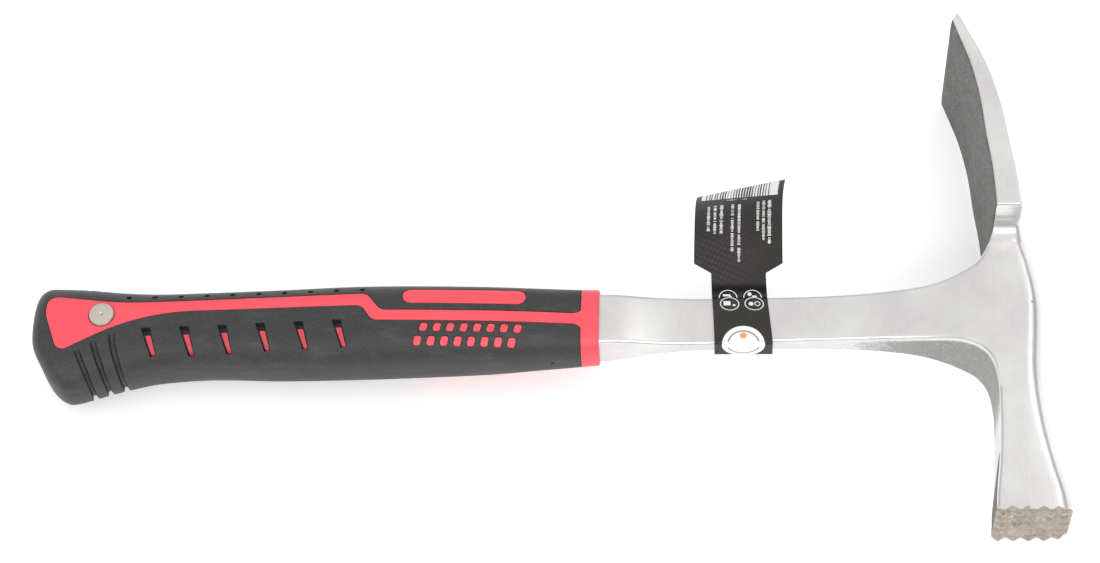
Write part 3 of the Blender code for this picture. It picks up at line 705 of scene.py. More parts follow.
def gripRing(x, inset, points, scale=1.0, carved=False):
    centre, tall, thick = smoothTable(gripRows, x)
    g = grooveSizes
    ring = []
    for step in range(points):
        angle = 2 * math.pi * step / points
        across = math.copysign(abs(math.cos(angle)) ** (2 / gripSizes["power"]), math.cos(angle))
        out = math.copysign(abs(math.sin(angle)) ** (2 / gripSizes["power"]), math.sin(angle))
        cut = inset
        if carved:
            y = centre + tall * across
            for index, top in enumerate(g["tops"]):
                u = abs(x - g["first"] - index * g["pitch"]) / g["half"]
                if u < 1:
                    cut += g["depth"] * min(1.0, 1.9 * (1 - u)) * min(max((top - y) / 2.2, 0.0), 1.0)
            for spot in g["notches"]:
                u = abs(x - spot) / g["notchHalf"]
                if u < 1:
                    cut += g["notchDepth"] * (1 - u) * ramp(across, 0.86, 0.97)
        y = centre + (tall - cut) * scale * across
        ring.append((x + leanForward(x, y), y, (thick - cut) * scale * out))
    return ring


def gripBody(start, end, inset, radius, points, pace, carved=False):
    # Rings from the pommel's rounded end to the flat section at end
    rings = [gripRing(start, inset + radius, points, share) for share in (0.12, 0.3, 0.5, 0.7, 0.86)]
    for turn in range(0, 91, 9):
        angle = math.radians(turn)
        x = start + radius * (1 - math.cos(angle))
        rings.append(gripRing(x, inset + radius * (1 - math.sin(angle)), points))
    stops = set(round(float(x), 3) for x in np.arange(start + radius + 0.8, end - 0.4, pace))
    if carved:
        for index in range(len(grooveSizes["tops"])):
            spot = grooveSizes["first"] + index * grooveSizes["pitch"]
            stops |= set(round(spot + float(d), 3) for d in np.linspace(-1.3, 1.3, 15))
        for spot in grooveSizes["notches"]:
            stops |= set(round(spot + d, 3) for d in (-0.8, -0.4, 0.0, 0.4, 0.8))
    last = None
    for x in sorted(stops):
        if last is None or x - last > 0.06:
            rings.append(gripRing(x, inset, points, carved=carved))
            last = x
    rings.append(gripRing(end, inset, points))
    return rings


def skinOver(name, rings):
    # Closed skin over the rings, each end closed on a middle point
    count = len(rings[0])
    verts = [point for ring in rings for point in ring]
    faces = []
    for row in range(len(rings) - 1):
        for column in range(count):
            after = (column + 1) % count
            faces.append((row * count + column, row * count + after,
                          (row + 1) * count + after, (row + 1) * count + column))
    for row in (0, len(rings) - 1):
        middle = len(verts)
        verts.append(tuple(sum(point[axis] for point in rings[row]) / count for axis in range(3)))
        faces += [(middle, row * count + column, row * count + (column + 1) % count)
                  for column in range(count)]
    return newPiece(name, verts, faces)


def roundOutline(corners, steps):
    # Closed outline with an arc at each corner: X, Y, radius
    points = []
    count = len(corners)
    for index, (x, y, radius) in enumerate(corners):
        here = Vector((x, y))
        before = Vector(corners[index - 1][:2]) - here
        after = Vector(corners[(index + 1) % count][:2]) - here
        if radius == 0.0:
            points.append(here)
            continue
        halfAngle = before.angle(after) / 2
        reach = radius / math.tan(halfAngle)
        middle = here + (before.normalized() + after.normalized()).normalized() * radius / math.sin(halfAngle)
        start = here + before.normalized() * reach - middle
        sweep = start.angle_signed(here + after.normalized() * reach - middle)
        for step in range(steps + 1):
            turn = -sweep * step / steps
            points.append(middle + Vector((start.x * math.cos(turn) - start.y * math.sin(turn),
                                           start.x * math.sin(turn) + start.y * math.cos(turn))))
    return [(point.x, point.y) for point in points]


def shrinkOutline(points, distance):
    area = sum(a[0] * b[1] - b[0] * a[1] for a, b in zip(points, points[1:] + points[:1]))
    side = 1.0 if area > 0 else -1.0
    out = []
    for index, point in enumerate(points):
        before = Vector(point) - Vector(points[index - 1])
        after = Vector(points[(index + 1) % len(points)]) - Vector(point)
        first, second = Vector((-before.y, before.x)).normalized(), Vector((-after.y, after.x)).normalized()
        middle = (first + second).normalized()
        reach = distance / max(middle.dot(first), 0.5)
        out.append((point[0] + middle.x * reach * side, point[1] + middle.y * reach * side))
    return out


def blade2d(name, outline, low, high):
    # Outline filled and drawn out along Z
    count = len(outline)
    verts = [(x, y, low) for x, y in outline] + [(x, y, high) for x, y in outline]
    faces = [(k, (k + 1) % count, count + (k + 1) % count, count + k) for k in range(count)]
    faces += [tuple(range(count)), tuple(range(count, 2 * count))]
    return newPiece(name, verts, faces)


def repeatTree():
    # One shape repeated in rows
    tree = TreeBuilder("repeatInRows", [
        ("Shape", "NodeSocketObject", None), ("Count", "NodeSocketInt", 8),
        ("Pitch", "NodeSocketVector", None), ("Rows", "NodeSocketInt", 1),
        ("RowPitch", "NodeSocketVector", None), ("Material", "NodeSocketMaterial", None)])
    shape = tree.node("GeometryNodeObjectInfo", {"Object": "Shape"})
    line = tree.node("GeometryNodeMeshLine", {"Count": "Count", "Offset": "Pitch"})
    rows = tree.node("GeometryNodeMeshLine", {"Count": "Rows", "Offset": "RowPitch"})
    one = tree.node("GeometryNodeInstanceOnPoints", {"Points": line, "Instance": shape.outputs["Geometry"]})
    every = tree.node("GeometryNodeInstanceOnPoints", {"Points": rows, "Instance": one.outputs[0]})
    return tree.close(every.outputs[0])


repeatRows = repeatTree()


def repeated(name, shape, count, pitch, rows=1, rowPitch=(0.0, 0.0, 0.0)):
    grown = growPiece(name, repeatRows, {"Shape": shape, "Count": count, "Pitch": [v * mm for v in pitch],
                                         "Rows": rows, "RowPitch": [v * mm for v in rowPitch]}, plain)
    bpy.data.objects.remove(shape)
    return grown


patternSizes = {
    "flareX": 179.9, "pill": (141.7, 4.55, 39.8, 6.4), "through": 30.0,
    "dotCount": 8, "dotFirst": (129.3, -7.05), "dotPitch": 4.27, "dotRow": (-1.9, -4.2), "dotWide": 2.75,
    "dotTall": 3.0, "dotSlant": 0.3,
    "slotCount": 6, "slotFirst": (40.2, -7.2), "slotPitch": (12.24, 0.5), "slotLong": 8.8, "slotSlant": 0.3,
    "slotTop": 3.1, "slotFoot": 2.0, "ledge": 0.5, "ledgeTop": 1.9, "ledgeDepth": 2.5, "tongueDepth": 1.6,
    "pitCount": 10, "pitFirst": (33.3, 4.8), "pitPitch": (8.39, 0.3), "pitRadius": 0.9, "pitDepth": 1.2,
    "gate": (169.9, -14.9, 1.0), "gateY": -14.2,
}
inlayCorners = (
    (6.9, 5.6, 3.4), (7.0, -2.0, 12.0), (12.3, -16.0, 3.0), (39.7, -1.62, 70.0), (108.9, 0.45, 3.4),
    (112.6, -4.9, 3.4), (179.9, -4.9, 3.8), (179.9, -20.0, 0.0), (181.9, -20.0, 0.0), (181.9, 20.0, 0.0),
    (179.9, 20.0, 0.0), (179.9, -0.8, 3.6), (115.2, -0.9, 3.4), (110.4, 5.7, 3.8), (30.0, 2.5, 90.0),
)


def through(name, outline):
    return blade2d(name, outline, -patternSizes["through"], patternSizes["through"])


def patternPrisms(name, grow):
    # Inlay, pill and dots; grow is 0 for the sleeve's windows and less for the red lands
    p = patternSizes
    x, y, long, tall = p["pill"]
    half = tall / 2
    pill = [(x + side * long / 2, y + up * half, half * 0.98)
            for side, up in ((-1, -1), (1, -1), (1, 1), (-1, 1))]
    shapes = [through(name + "Inlay", shrinkOutline(roundOutline(inlayCorners, 14), -grow)),
              through(name + "Pill", shrinkOutline(roundOutline(pill, 16), -grow))]
    halfWide, halfTall = p["dotWide"] / 2 + grow, p["dotTall"] / 2 + grow
    x, y = p["dotFirst"]
    corners = [(x + wide * halfWide + up * halfTall * p["dotSlant"], y + up * halfTall, 0.9 + grow)
               for wide, up in ((-1, -1), (1, -1), (1, 1), (-1, 1))]
    dot = through(name + "Dot", roundOutline(corners, 6))
    pitch, rowPitch = (p["dotPitch"], 0.0, 0.0), (*p["dotRow"], 0.0)
    shapes.append(repeated(name + "Dots", dot, p["dotCount"], pitch, 2, rowPitch))
    return joinPieces(name, shapes)


def slotPrisms(name, margin, drop):
    # One slot's outline drawn out and repeated; margin narrows it and drop lowers its upper end
    p = patternSizes
    x, y = p["slotFirst"]
    footX, footY = x + p["slotLong"] * p["slotSlant"], y - p["slotLong"] + margin
    topX, topY = x + drop * p["slotSlant"], y - drop
    top, foot = p["slotTop"] / 2 - margin, p["slotFoot"] / 2 - margin * 0.75
    corners = [(topX - top, topY, 0.35), (footX - foot, footY, 0.4), (footX + foot, footY, 0.4),
               (topX + top, topY, 0.35)]
    slot = through(name + "One", roundOutline(corners, 5))
    return repeated(name, slot, p["slotCount"], (*p["slotPitch"], 0.0))


def innerGrip(name, depth):
    return skinOver(name, gripBody(gripSizes["end"] + depth, patternSizes["flareX"] + 1.0, depth,
                                   gripSizes["radius"] - depth, 96, 2.5))


def pitPrisms():
    # Blind pits along the upper shoulder of both faces, square to the skin
    p = patternSizes
    pieces = []
    for index in range(p["pitCount"]):
        x, y = p["pitFirst"][0] + index * p["pitPitch"][0], p["pitFirst"][1] + index * p["pitPitch"][1]
        centre, tall, thick = smoothTable(gripRows, x)
        share = (y - centre) / tall
        z = thick * (1 - share ** gripSizes["power"]) ** (1 / gripSizes["power"])
        aim = Vector((0.0, share ** 1.5 / tall, (z / thick) ** 1.5 / thick))
        for side in (-1, 1):
            pit = tube("pit", 0.0, 0.0, -p["pitDepth"], p["pitDepth"], p["pitRadius"], 24)
            pit.data.transform(Matrix.Translation(-originShift))
            turn = Vector((0.0, aim.y, side * aim.z)).to_track_quat("Z", "X").to_matrix().to_4x4()
            pit.data.transform(Matrix.Translation(place((x, y, side * z))) @ turn)
            pieces.append(pit)
    # The moulding gate's small round pit
    x, y, z = p["gate"]
    gate = tube("gate", x, y, -0.9, 0.9, 0.5, 16)
    gate.data.transform(Matrix.Translation(-place((x, y, 0.0))))
    upright = Matrix.Rotation(math.radians(90), 4, "X")
    gate.data.transform(Matrix.Translation(place((x, p["gateY"], z))) @ upright)
    return joinPieces("pits", pieces + [gate])


def makeSleeve():
    g, p = gripSizes, patternSizes
    sleeve = skinOver("rubberSleeve", gripBody(g["end"], g["sleeveEnd"], 0.0, g["radius"], 132, 1.7,
                                               carved=True))
    cavity = skinOver("cavity", gripBody(g["end"] + g["wall"], g["sleeveEnd"] + 5.0, g["wall"],
                                         g["radius"] - g["wall"], 64, 4.0))
    cutWith(sleeve, cavity)
    cutWith(sleeve, patternPrisms("windows", 0.0))
    # Painted shade made solid: the rubber ledge round each red tongue gives the dark rim that shade gives at
    # the slot's sides
    recess = slotPrisms("slotRecess", 0.0, 0.0)
    cutWith(recess, innerGrip("ledgeLevel", p["ledgeDepth"]))
    cutWith(sleeve, recess)
    cutWith(sleeve, slotPrisms("slotThrough", p["ledge"], p["ledgeTop"]))
    cutWith(sleeve, pitPrisms())
    return softEdges(sleeve, 42)


def makeCore():
    g, r, p = gripSizes, rivetSizes, patternSizes
    core = patternPrisms("redCore", -g["gap"])
    flush = skinOver("flush", gripBody(g["end"] + g["setDown"], p["flareX"] + 1.0, g["setDown"], g["radius"],
                                       132, 1.7))
    cutWith(core, flush, "INTERSECT")
    buried = g["wall"] + g["gap"]
    collarStart = g["sleeveEnd"] + g["gap"]
    collarEnd = collarStart + g["collar"]
    rings = gripBody(g["end"] + buried, collarStart, buried, g["radius"] - g["wall"], 132, 4.0)
    rings.append(gripRing(collarStart, 0.0, 132))
    bevel = g["collarBevel"]
    for turn in (0, 22, 45, 68, 90):
        angle = math.radians(turn)
        rings.append(gripRing(collarEnd - bevel * (1 - math.sin(angle)), bevel * (1 - math.cos(angle)), 132))
    tongues = slotPrisms("tongues", p["ledge"] + 0.08, p["ledgeTop"] + 0.08)
    cutWith(tongues, innerGrip("tongueLevel", p["tongueDepth"]), "INTERSECT")
    cutWith(core, skinOver("coreBody", rings), "UNION")
    cutWith(core, tongues, "UNION")
    s = steelSizes
    gap = g["gap"]
    start, end = s["tangEnd"] - gap, s["step"] + 0.5
    low, high = s["tangLow"] - gap, s["tangHigh"] + gap
    tangRoom = roundOutline(((start, low, 1.0), (end, low, 0.0), (end, high, 0.0), (start, high, 1.0)), 3)
    cutWith(core, blade2d("tangRoom", tangRoom, -s["tangHalf"] - gap, s["tangHalf"] + gap))
    # The mouth is two crossed blocks, which leave its corners solid
    low, high = shankLower[0][1] - gap, shankUpper[0][1] + gap
    start, half = s["step"] - gap, shankHalf[0][1] + gap
    mouth = [(start, low), (start + 12, low), (start + 12, high), (start, high)]
    cutWith(core, blade2d("mouthFlat", mouth, -half + 1.3, half - 1.3))
    cutWith(core, blade2d("mouthDeep", [(x, y * 0.88 - 0.15) for x, y in mouth], -half, half))
    cutWith(core, tube("coreBore", r["x"], r["y"], -30.0, 30.0, r["stem"] + gap))
    for side in (-1, 1):
        low, high = sorted((side * r["seat"], side * (r["seat"] + 8.0)))
        cutWith(core, tube("seat", r["x"], r["y"], low, high, r["headRadius"] + gap, 64))
    return softEdges(core, 42)


sleeve = makeSleeve()
print("rubber sleeve", len(sleeve.data.polygons))
core = makeCore()
print("red core", len(core.data.polygons))

# Rivet: a post from the near side and a cap on the far side


def turnProfile(name, profile, flip, steps=72):
    verts, faces, rings = [], [], []
    side = -1.0 if flip else 1.0
    for radius, z in profile:
        if radius == 0.0:
            rings.append([len(verts)] * steps)
            verts.append((rivetSizes["x"], rivetSizes["y"], side * z))
            continue
        rings.append(list(range(len(verts), len(verts) + steps)))
        verts += [(rivetSizes["x"] + radius * math.cos(2 * math.pi * k / steps),
                    rivetSizes["y"] + radius * math.sin(2 * math.pi * k / steps), side * z)
                  for k in range(steps)]
    for low, high in zip(rings, rings[1:]):
        for k in range(steps):
            quad = (low[k], low[(k + 1) % steps], high[(k + 1) % steps], high[k])
            faces.append(tuple(dict.fromkeys(quad)))
    return softEdges(newPiece(name, verts, faces), 35)


def makeRivet():
    r = rivetSizes
    under = r["seat"] + r["gap"]
    top = under + r["tall"]
    rim = r["headRadius"]
    crown = [(0.75, top + 0.03), (0.95, top + 0.01), (2.2, top), (3.3, top - 0.05), (3.8, top - 0.13),
             (rim - 0.3, top - 0.25), (rim - 0.1, top - 0.45), (rim, top - 0.75), (rim, under),
             (r["stem"], under)]
    post = [(0.0, top - 0.4), (0.25, top - 0.34), (0.5, top - 0.14)] + crown
    post += [(r["stem"], 0.0), (r["spigot"], 0.0), (r["spigot"], -r["spigotLong"]), (0.0, -r["spigotLong"])]
    socket = r["spigot"] + r["spigotGap"]
    cap = [(0.0, top - 0.02)] + crown
    cap += [(r["stem"], r["gap"]), (socket, r["gap"]), (socket, r["spigotLong"] + r["gap"]),
            (0.0, r["spigotLong"] + r["gap"])]
    return turnProfile("rivetPost", post, False), turnProfile("rivetCap", cap, True)


rivetPost, rivetCap = makeRivet()
print("rivet")

# Hang tag: one folded card, its print and the round sticker

tagSizes = {
    "thick": 0.35, "left": 221.1, "strapWidth": 17.6, "headerWidth": 28.6, "halfGap": 4.0, "bottomY": -8.8,
    "foldY": 9.4, "bend": 0.9, "shoulderFrom": 7.6, "shoulderTo": 11.4, "lean": math.radians(5.0),
    "flat": 22.0, "curlLong": 29.9, "curlLeft": math.radians(60.0), "curlRight": math.radians(35.0),
    "flapTop": 24.0, "gap": 0.3, "columns": 24, "sealRadius": 6.8, "sealThick": 0.15, "sealOffset": 0.75,
    "inkHalf": 0.015, "inkLift": 0.012,
}
middleX = tagSizes["left"] + tagSizes["strapWidth"] / 2
sealStand = tagSizes["thick"] / 2 + tagSizes["gap"] + tagSizes["sealThick"] / 2
sealX = middleX + tagSizes["sealOffset"]


def headerPoint(along, share):
    # Y and Z of the header above the fold; it curls back less towards its right side
    t = tagSizes
    flat = min(along, t["flat"])
    y = t["foldY"] + flat * math.cos(t["lean"])
    z = t["halfGap"] - flat * math.sin(t["lean"])
    if along > t["flat"]:
        curl = t["curlLeft"] + (t["curlRight"] - t["curlLeft"]) * share - t["lean"]
        radius = t["curlLong"] / curl
        turn = t["lean"] + (along - t["flat"]) / radius
        y += radius * (math.sin(turn) - math.sin(t["lean"]))
        z -= radius * (math.cos(t["lean"]) - math.cos(turn))
    return y, z


sideRows = (
    (-32.0, 0.9, 1.055), (-18.0, 0.8, 1.05), (-9.0, 0.25, 1.02), (0.0, -0.4, 1.0), (9.0, -0.65, 1.0),
    (20.0, -0.6, 1.0), (34.0, -0.35, 1.0), (44.0, 0.1, 1.005), (51.9, 0.75, 1.015),
)


def cardX(x, along):
    # The card hangs a little askew: how far it drifts to the right, and how much it spreads
    drift, spread = smoothTable(sideRows, min(max(along, sideRows[0][0]), sideRows[-1][0]))
    return middleX + (x - middleX) * spread + drift


def strapPath():
    # Y and Z from the glued flap down behind the shank, under it and up to the fold
    t = tagSizes
    behind = t["thick"] + t["gap"]
    corners = [(t["flapTop"], headerPoint(t["flapTop"] - t["foldY"], 0.0)[1] - behind, 0.0),
               (t["foldY"] + 5.5, headerPoint(5.5, 0.0)[1] - behind, 2.0),
               (t["foldY"] + 0.2, -t["halfGap"], 1.6),
               (t["bottomY"], -t["halfGap"], t["bend"]), (t["bottomY"], t["halfGap"], t["bend"]),
               (t["foldY"], t["halfGap"], 0.0)]
    path = roundOutline(corners, 6)
    fine = [path[0]]
    for start, end in zip(path, path[1:]):
        count = max(1, int((Vector(end) - Vector(start)).length / 0.3))
        fine += [tuple(Vector(start).lerp(Vector(end), (k + 1) / count)) for k in range(count)]
    return fine


def thinSheet(name, rows, thick):
    # Closed sheet round a grid of points, half its thickness to each side; its front is marked as printed
    grid = np.array(rows, float)
    across = np.gradient(grid, axis=1)
    down = np.gradient(grid, axis=0)
    normal = np.cross(across, down)
    normal /= np.maximum(np.linalg.norm(normal, axis=2, keepdims=True), 1e-9)
    front, back = grid + normal * thick / 2, grid - normal * thick / 2
    rim = grid + normal * (thick / 2 - 0.04)
    high, wide = grid.shape[:2]
    verts = [tuple(p) for p in front.reshape(-1, 3)] + [tuple(p) for p in back.reshape(-1, 3)]
    faces = []
    for a in range(high - 1):
        for b in range(wide - 1):
            quad = (a * wide + b, a * wide + b + 1, (a + 1) * wide + b + 1, (a + 1) * wide + b)
            faces.append(quad)
            faces.append(tuple(index + high * wide for index in reversed(quad)))
    loop = [(0, b) for b in range(wide)] + [(a, wide - 1) for a in range(1, high)]
    loop += [(high - 1, b) for b in range(wide - 2, -1, -1)] + [(a, 0) for a in range(high - 2, 0, -1)]
    rimStart = len(verts)
    verts += [tuple(rim[a, b]) for a, b in loop]
    for k, (a, b) in enumerate(loop):
        c, d = loop[(k + 1) % len(loop)]
        after = rimStart + (k + 1) % len(loop)
        faces.append((a * wide + b, rimStart + k, after, c * wide + d))
        faces.append((rimStart + k, a * wide + b + high * wide, c * wide + d + high * wide, after))
    piece = newPiece(name, verts, faces)
    setMask(piece, "printed", [1.0] * (high * wide) + [0.0] * (high * wide + len(loop)))
    return softEdges(piece, 50)


def cardRows():
    t = tagSizes
    rows = []
    for y, z in strapPath():
        rows.append([(cardX(t["left"] + t["strapWidth"] * k / t["columns"], y - t["foldY"]), y, z)
                     for k in range(t["columns"] + 1)])
    stops = list(np.arange(1.2, t["shoulderFrom"], 1.2))
    stops += [t["shoulderFrom"], 8.6, 9.5, 10.5, t["shoulderTo"]]
    end = t["flat"] + t["curlLong"]
    stops += list(np.arange(t["shoulderTo"] + 1.2, end - 0.5, 1.2)) + [end]
    for along in stops:
        widen = min(max((along - t["shoulderFrom"]) / (t["shoulderTo"] - t["shoulderFrom"]), 0.0), 1.0)
        width = t["strapWidth"] + (t["headerWidth"] - t["strapWidth"]) * widen
        row = []
        for k in range(t["columns"] + 1):
            share = k / t["columns"]
            row.append((cardX(middleX + width * (share - 0.5), along), *headerPoint(along, share)))
        rows.append(row)
    return rows


def cardSpot(x, along, lift):
    # Place on the printed side: along counts from the fold, up the header or down the strap's front
    t = tagSizes
    def at(px, value):
        side = cardX(px, value)
        if value < 0:
            return Vector((side, t["foldY"] + value, t["halfGap"]))
        return Vector((side, *headerPoint(value, (px - middleX) / t["headerWidth"] + 0.5)))

    here = at(x, along)
    up = at(x, along + 0.05) - at(x, along - 0.05)
    side = at(x + 0.05, along) - at(x - 0.05, along)
    normal = side.cross(up).normalized()
    return here + normal * (t["thick"] / 2 + lift)


def sealSpot(x, level, lift):
    # Place on the sticker: level counts backwards round the strap's lower edge, from the start of its bend
    t = tagSizes
    radius = t["bend"] + sealStand
    out = radius + lift
    bend = radius * math.pi / 2
    pivotY, pivotZ = t["bottomY"] + t["bend"], t["halfGap"] - t["bend"]
    if level <= 0.0:
        return Vector((x, pivotY - level, pivotZ + out))
    if level >= bend:
        return Vector((x, pivotY - out, pivotZ - (level - bend)))
    angle = level / radius
    return Vector((x, pivotY - out * math.sin(angle), pivotZ + out * math.cos(angle)))


def sealRows():
    t = tagSizes
    bend = (t["bend"] + sealStand) * math.pi / 2
    middle = bend / 2 + t["sealOffset"]
    rows = []
    levels = [middle - t["sealRadius"] * math.cos(math.radians(turn)) for turn in range(3, 178, 6)]
    for level in levels:
        half = math.sqrt(t["sealRadius"] ** 2 - (level - middle) ** 2)
        rows.append([tuple(sealSpot(sealX + half * (k / 14 - 1), level, 0.0)) for k in range(29)])
    return rows[::-1], middle


def shadeCrease(piece):
    # Painted shade: a sharp dark line in the crease across the card, and a painted shaded band above it
    values = []
    for point in rawPoints(piece):
        along = point[1] - tagSizes["foldY"]
        line = ramp(0.35 - abs(along + 1.95), 0.0, 0.25)
        shade = 0.85 * ramp(along, -1.9, 1.2) * ramp(4.6 - along, 0.0, 3.4)
        values.append(max(line, shade))
    setMask(piece, "crease", values)


card = thinSheet("tagCard", cardRows(), tagSizes["thick"])
shadeCrease(card)
stickerRows, sealMiddle = sealRows()
sticker = thinSheet("sealSticker", stickerRows, tagSizes["sealThick"])


def inkTree():
    # A row of little printed bars with widths and gaps of their own
    tree = TreeBuilder("inkBars", [("Count", "NodeSocketInt", 20), ("Pitch", "NodeSocketFloat", 0.8),
                                   ("Tall", "NodeSocketFloat", 1.0), ("Narrow", "NodeSocketFloat", 0.2),
                                   ("Wide", "NodeSocketFloat", 0.6), ("Short", "NodeSocketFloat", 1.0),
                                   ("Thick", "NodeSocketFloat", 0.03), ("Keep", "NodeSocketFloat", 1.0),
                                   ("Seed", "NodeSocketInt", 1),
                                   ("Material", "NodeSocketMaterial", None)])
    bar = tree.node("GeometryNodeMeshCube", {"Size": tree.vector(1.0, "Tall", "Thick"), "Vertices X": 2,
                                             "Vertices Y": 9, "Vertices Z": 2})
    line = tree.node("GeometryNodeMeshLine", {"Count": "Count", "Offset": tree.vector("Pitch", 0.0, 0.0)})
    width = tree.node("FunctionNodeRandomValue", data_type="FLOAT")
    tree.feed(width.inputs[2], "Narrow")
    tree.feed(width.inputs[3], "Wide")
    tree.feed(width.inputs["Seed"], "Seed")
    chance = tree.node("FunctionNodeRandomValue", data_type="BOOLEAN")
    tree.feed(chance.inputs["Probability"], "Keep")
    tree.feed(chance.inputs["Seed"], tree.math("ADD", "Seed", 7))
    height = tree.node("FunctionNodeRandomValue", data_type="FLOAT")
    tree.feed(height.inputs[2], "Short")
    height.inputs[3].default_value = 1.0
    tree.feed(height.inputs["Seed"], tree.math("ADD", "Seed", 3))
    size = tree.vector(width.outputs[1], height.outputs[1], 1.0)
    bars = tree.node("GeometryNodeInstanceOnPoints", {"Points": line, "Instance": bar.outputs[0],
                                                      "Selection": chance.outputs[3], "Scale": size})
    return tree.close(bars.outputs[0])


inkBars = inkTree()


def wrapPrint(piece, spot, turned=False, at=(0.0, 0.0)):
    # Bends a flat print in millimetres onto the card or the sticker
    for vertex in piece.data.vertices:
        x, y, lift = vertex.co
        u, v = (at[0] + y, at[1] - x) if turned else (at[0] + x, at[1] + y)
        vertex.co = place(spot(u, v, lift + tagSizes["inkLift"]))
    turnOutwards(piece)
    return piece


def inkRow(name, values, at, turned):
    full = {"Thick": 2 * tagSizes["inkHalf"], "Keep": 1.0, "Short": 1.0}
    full.update(values)
    return wrapPrint(growPiece(name, inkBars, full, plain), cardSpot, turned, at)


def inkLayers(x, y, spot):
    # The two faces of the ink over one place
    lift, half = tagSizes["inkLift"], tagSizes["inkHalf"]
    return [spot(x, y, side + lift) for side in (-half, half)]


def flatRing(name, x, y, outer, inner, fromTurn, toTurn, spot, squeeze=1.0, steps=40):
    # Ring or arc of ink; a disc is a ring whose hole is too small to see
    full = abs(toTurn - fromTurn) >= 360
    rows = steps if full else steps + 1
    verts, faces = [], []
    for k in range(rows):
        turn = math.radians(fromTurn + (toTurn - fromTurn) * k / steps)
        for radius in (inner, outer):
            verts += inkLayers(x + radius * math.cos(turn), y + radius * math.sin(turn) * squeeze, spot)
    for k in range(rows if full else rows - 1):
        a, b = 4 * k, 4 * ((k + 1) % rows)
        for low, high in ((0, 2), (2, 3), (3, 1), (1, 0)):
            faces.append((a + low, a + high, b + high, b + low))
    if not full:
        faces += [(0, 1, 3, 2), tuple(4 * (rows - 1) + k for k in (0, 2, 3, 1))]
    return newPiece(name, verts, faces)


def flatBlock(name, x, y, wide, tall, spot, parts=6):
    verts, faces = [], []
    for a in range(parts + 1):
        for b in range(parts + 1):
            verts += inkLayers(x + wide * (a / parts - 0.5), y + tall * (b / parts - 0.5), spot)

    def index(a, b, c):
        return (a * (parts + 1) + b) * 2 + c

    for a in range(parts):
        for b in range(parts):
            faces.append((index(a, b, 1), index(a + 1, b, 1), index(a + 1, b + 1, 1), index(a, b + 1, 1)))
            faces.append((index(a, b, 0), index(a, b + 1, 0), index(a + 1, b + 1, 0), index(a + 1, b, 0)))
    for a in range(parts):
        for b in (0, parts):
            faces.append((index(a, b, 0), index(a + 1, b, 0), index(a + 1, b, 1), index(a, b, 1)))
            faces.append((index(b, a, 0), index(b, a + 1, 0), index(b, a + 1, 1), index(b, a, 1)))
    return newPiece(name, verts, faces)


# Care signs at the crease, each from its middle: blocks are wide and tall, rings have two radii and a squeeze
pinhole = 0.02
careSigns = (
    ("signBar", 225.8, -1.0, 2.4, 0.7), ("signFoot", 226.9, -1.6, 0.8, 0.6),
    ("signDot", 233.1, -0.6, 0.65, pinhole, 1.0, 20), ("signLine", 234.6, -1.4, 1.4, 0.5),
    ("signBox", 225.7, -3.9, 2.2, 1.5), ("signStep", 227.9, -4.6, 0.8, 0.7),
    ("signSpot", 233.3, -4.1, 0.75, pinhole, 0.9, 20), ("signHoop", 235.3, -4.1, 0.95, 0.68, 0.9, 24),
)
# Three blocks of small print as rows of plain marks down the header: across, start, count, seed, height
printLines = (
    (24.35, 38.6, 38, 5, 1.15), (22.45, 38.4, 37, 6, 0.95), (20.6, 38.0, 27, 7, 0.95),
    (14.5, 37.6, 50, 8, 0.95), (12.3, 37.2, 41, 9, 0.95),
    (8.7, 37.0, 27, 10, 1.15), (6.6, 36.8, 27, 11, 0.95), (4.5, 36.4, 24, 12, 0.95),
)


def printCard():
    t = tagSizes
    left = middleX - t["headerWidth"] / 2
    codeTop = t["flat"] + t["curlLong"]
    codeY, codeTall = codeTop - 5.2, 9.8
    # Code field at the top: white stripes of many widths between quiet white ends
    pieces = [flatBlock("quietLeft", left + 2.5, codeY, 1.4, codeTall, cardSpot, 10),
              flatBlock("quietRight", left + 25.6, codeY, 2.4, codeTall, cardSpot, 10)]
    bars = {"Count": 24, "Pitch": 0.88, "Tall": codeTall, "Narrow": 0.2, "Wide": 0.82, "Seed": 4}
    marks = {"Count": 16, "Pitch": 0.55, "Tall": 0.55, "Narrow": 0.2, "Wide": 0.4, "Seed": 9, "Keep": 0.8,
             "Short": 0.6}
    pieces.append(inkRow("codeBars", bars, (left + 3.9, codeY), False))
    pieces.append(inkRow("codeMarks", marks, (left + 10.5, codeTop - 11.4), False))
    for across, start, count, seed, tall in printLines:
        values = {"Count": count, "Pitch": 0.52, "Tall": tall * 1.15, "Narrow": 0.18, "Wide": 0.44,
                  "Seed": seed, "Keep": 0.88, "Short": 0.55}
        pieces.append(inkRow("printLine", values, (left + across, start), True))
    for x in (226.2, 234.0):
        pieces.append(flatRing("signHalf", x, -1.95, 2.95, 2.68, 0, 180, cardSpot))
        pieces.append(flatRing("signRing", x + 0.3, -4.1, 3.05, 2.75, 0, 360, cardSpot, 0.78))
    for name, x, y, first, second, *shape in careSigns:
        if shape:
            pieces.append(flatRing(name, x, y, first, second, 0, 360, cardSpot, *shape))
        else:
            pieces.append(flatBlock(name, x, y, first, second, cardSpot))
    return joinPieces("tagPrint", pieces)


def printSticker():
    def spot(u, v, lift):
        return sealSpot(u, v, lift + tagSizes["sealThick"] / 2)

    arcs = [flatRing("stickerArc", sealX, sealMiddle, 5.2, 4.75, start, start + 150, spot, 1.0, 60)
            for start in (15, 195)]
    ring = joinPieces("stickerRing", arcs)
    return ring, flatRing("stickerDot", sealX, sealMiddle - 3.35, 1.1, pinhole, 0, 360, spot, 1.0, 36)


tagPrint = printCard()
stickerRing, stickerDot = printSticker()
print("tag", len(card.data.polygons), len(tagPrint.data.polygons))

# Finishes


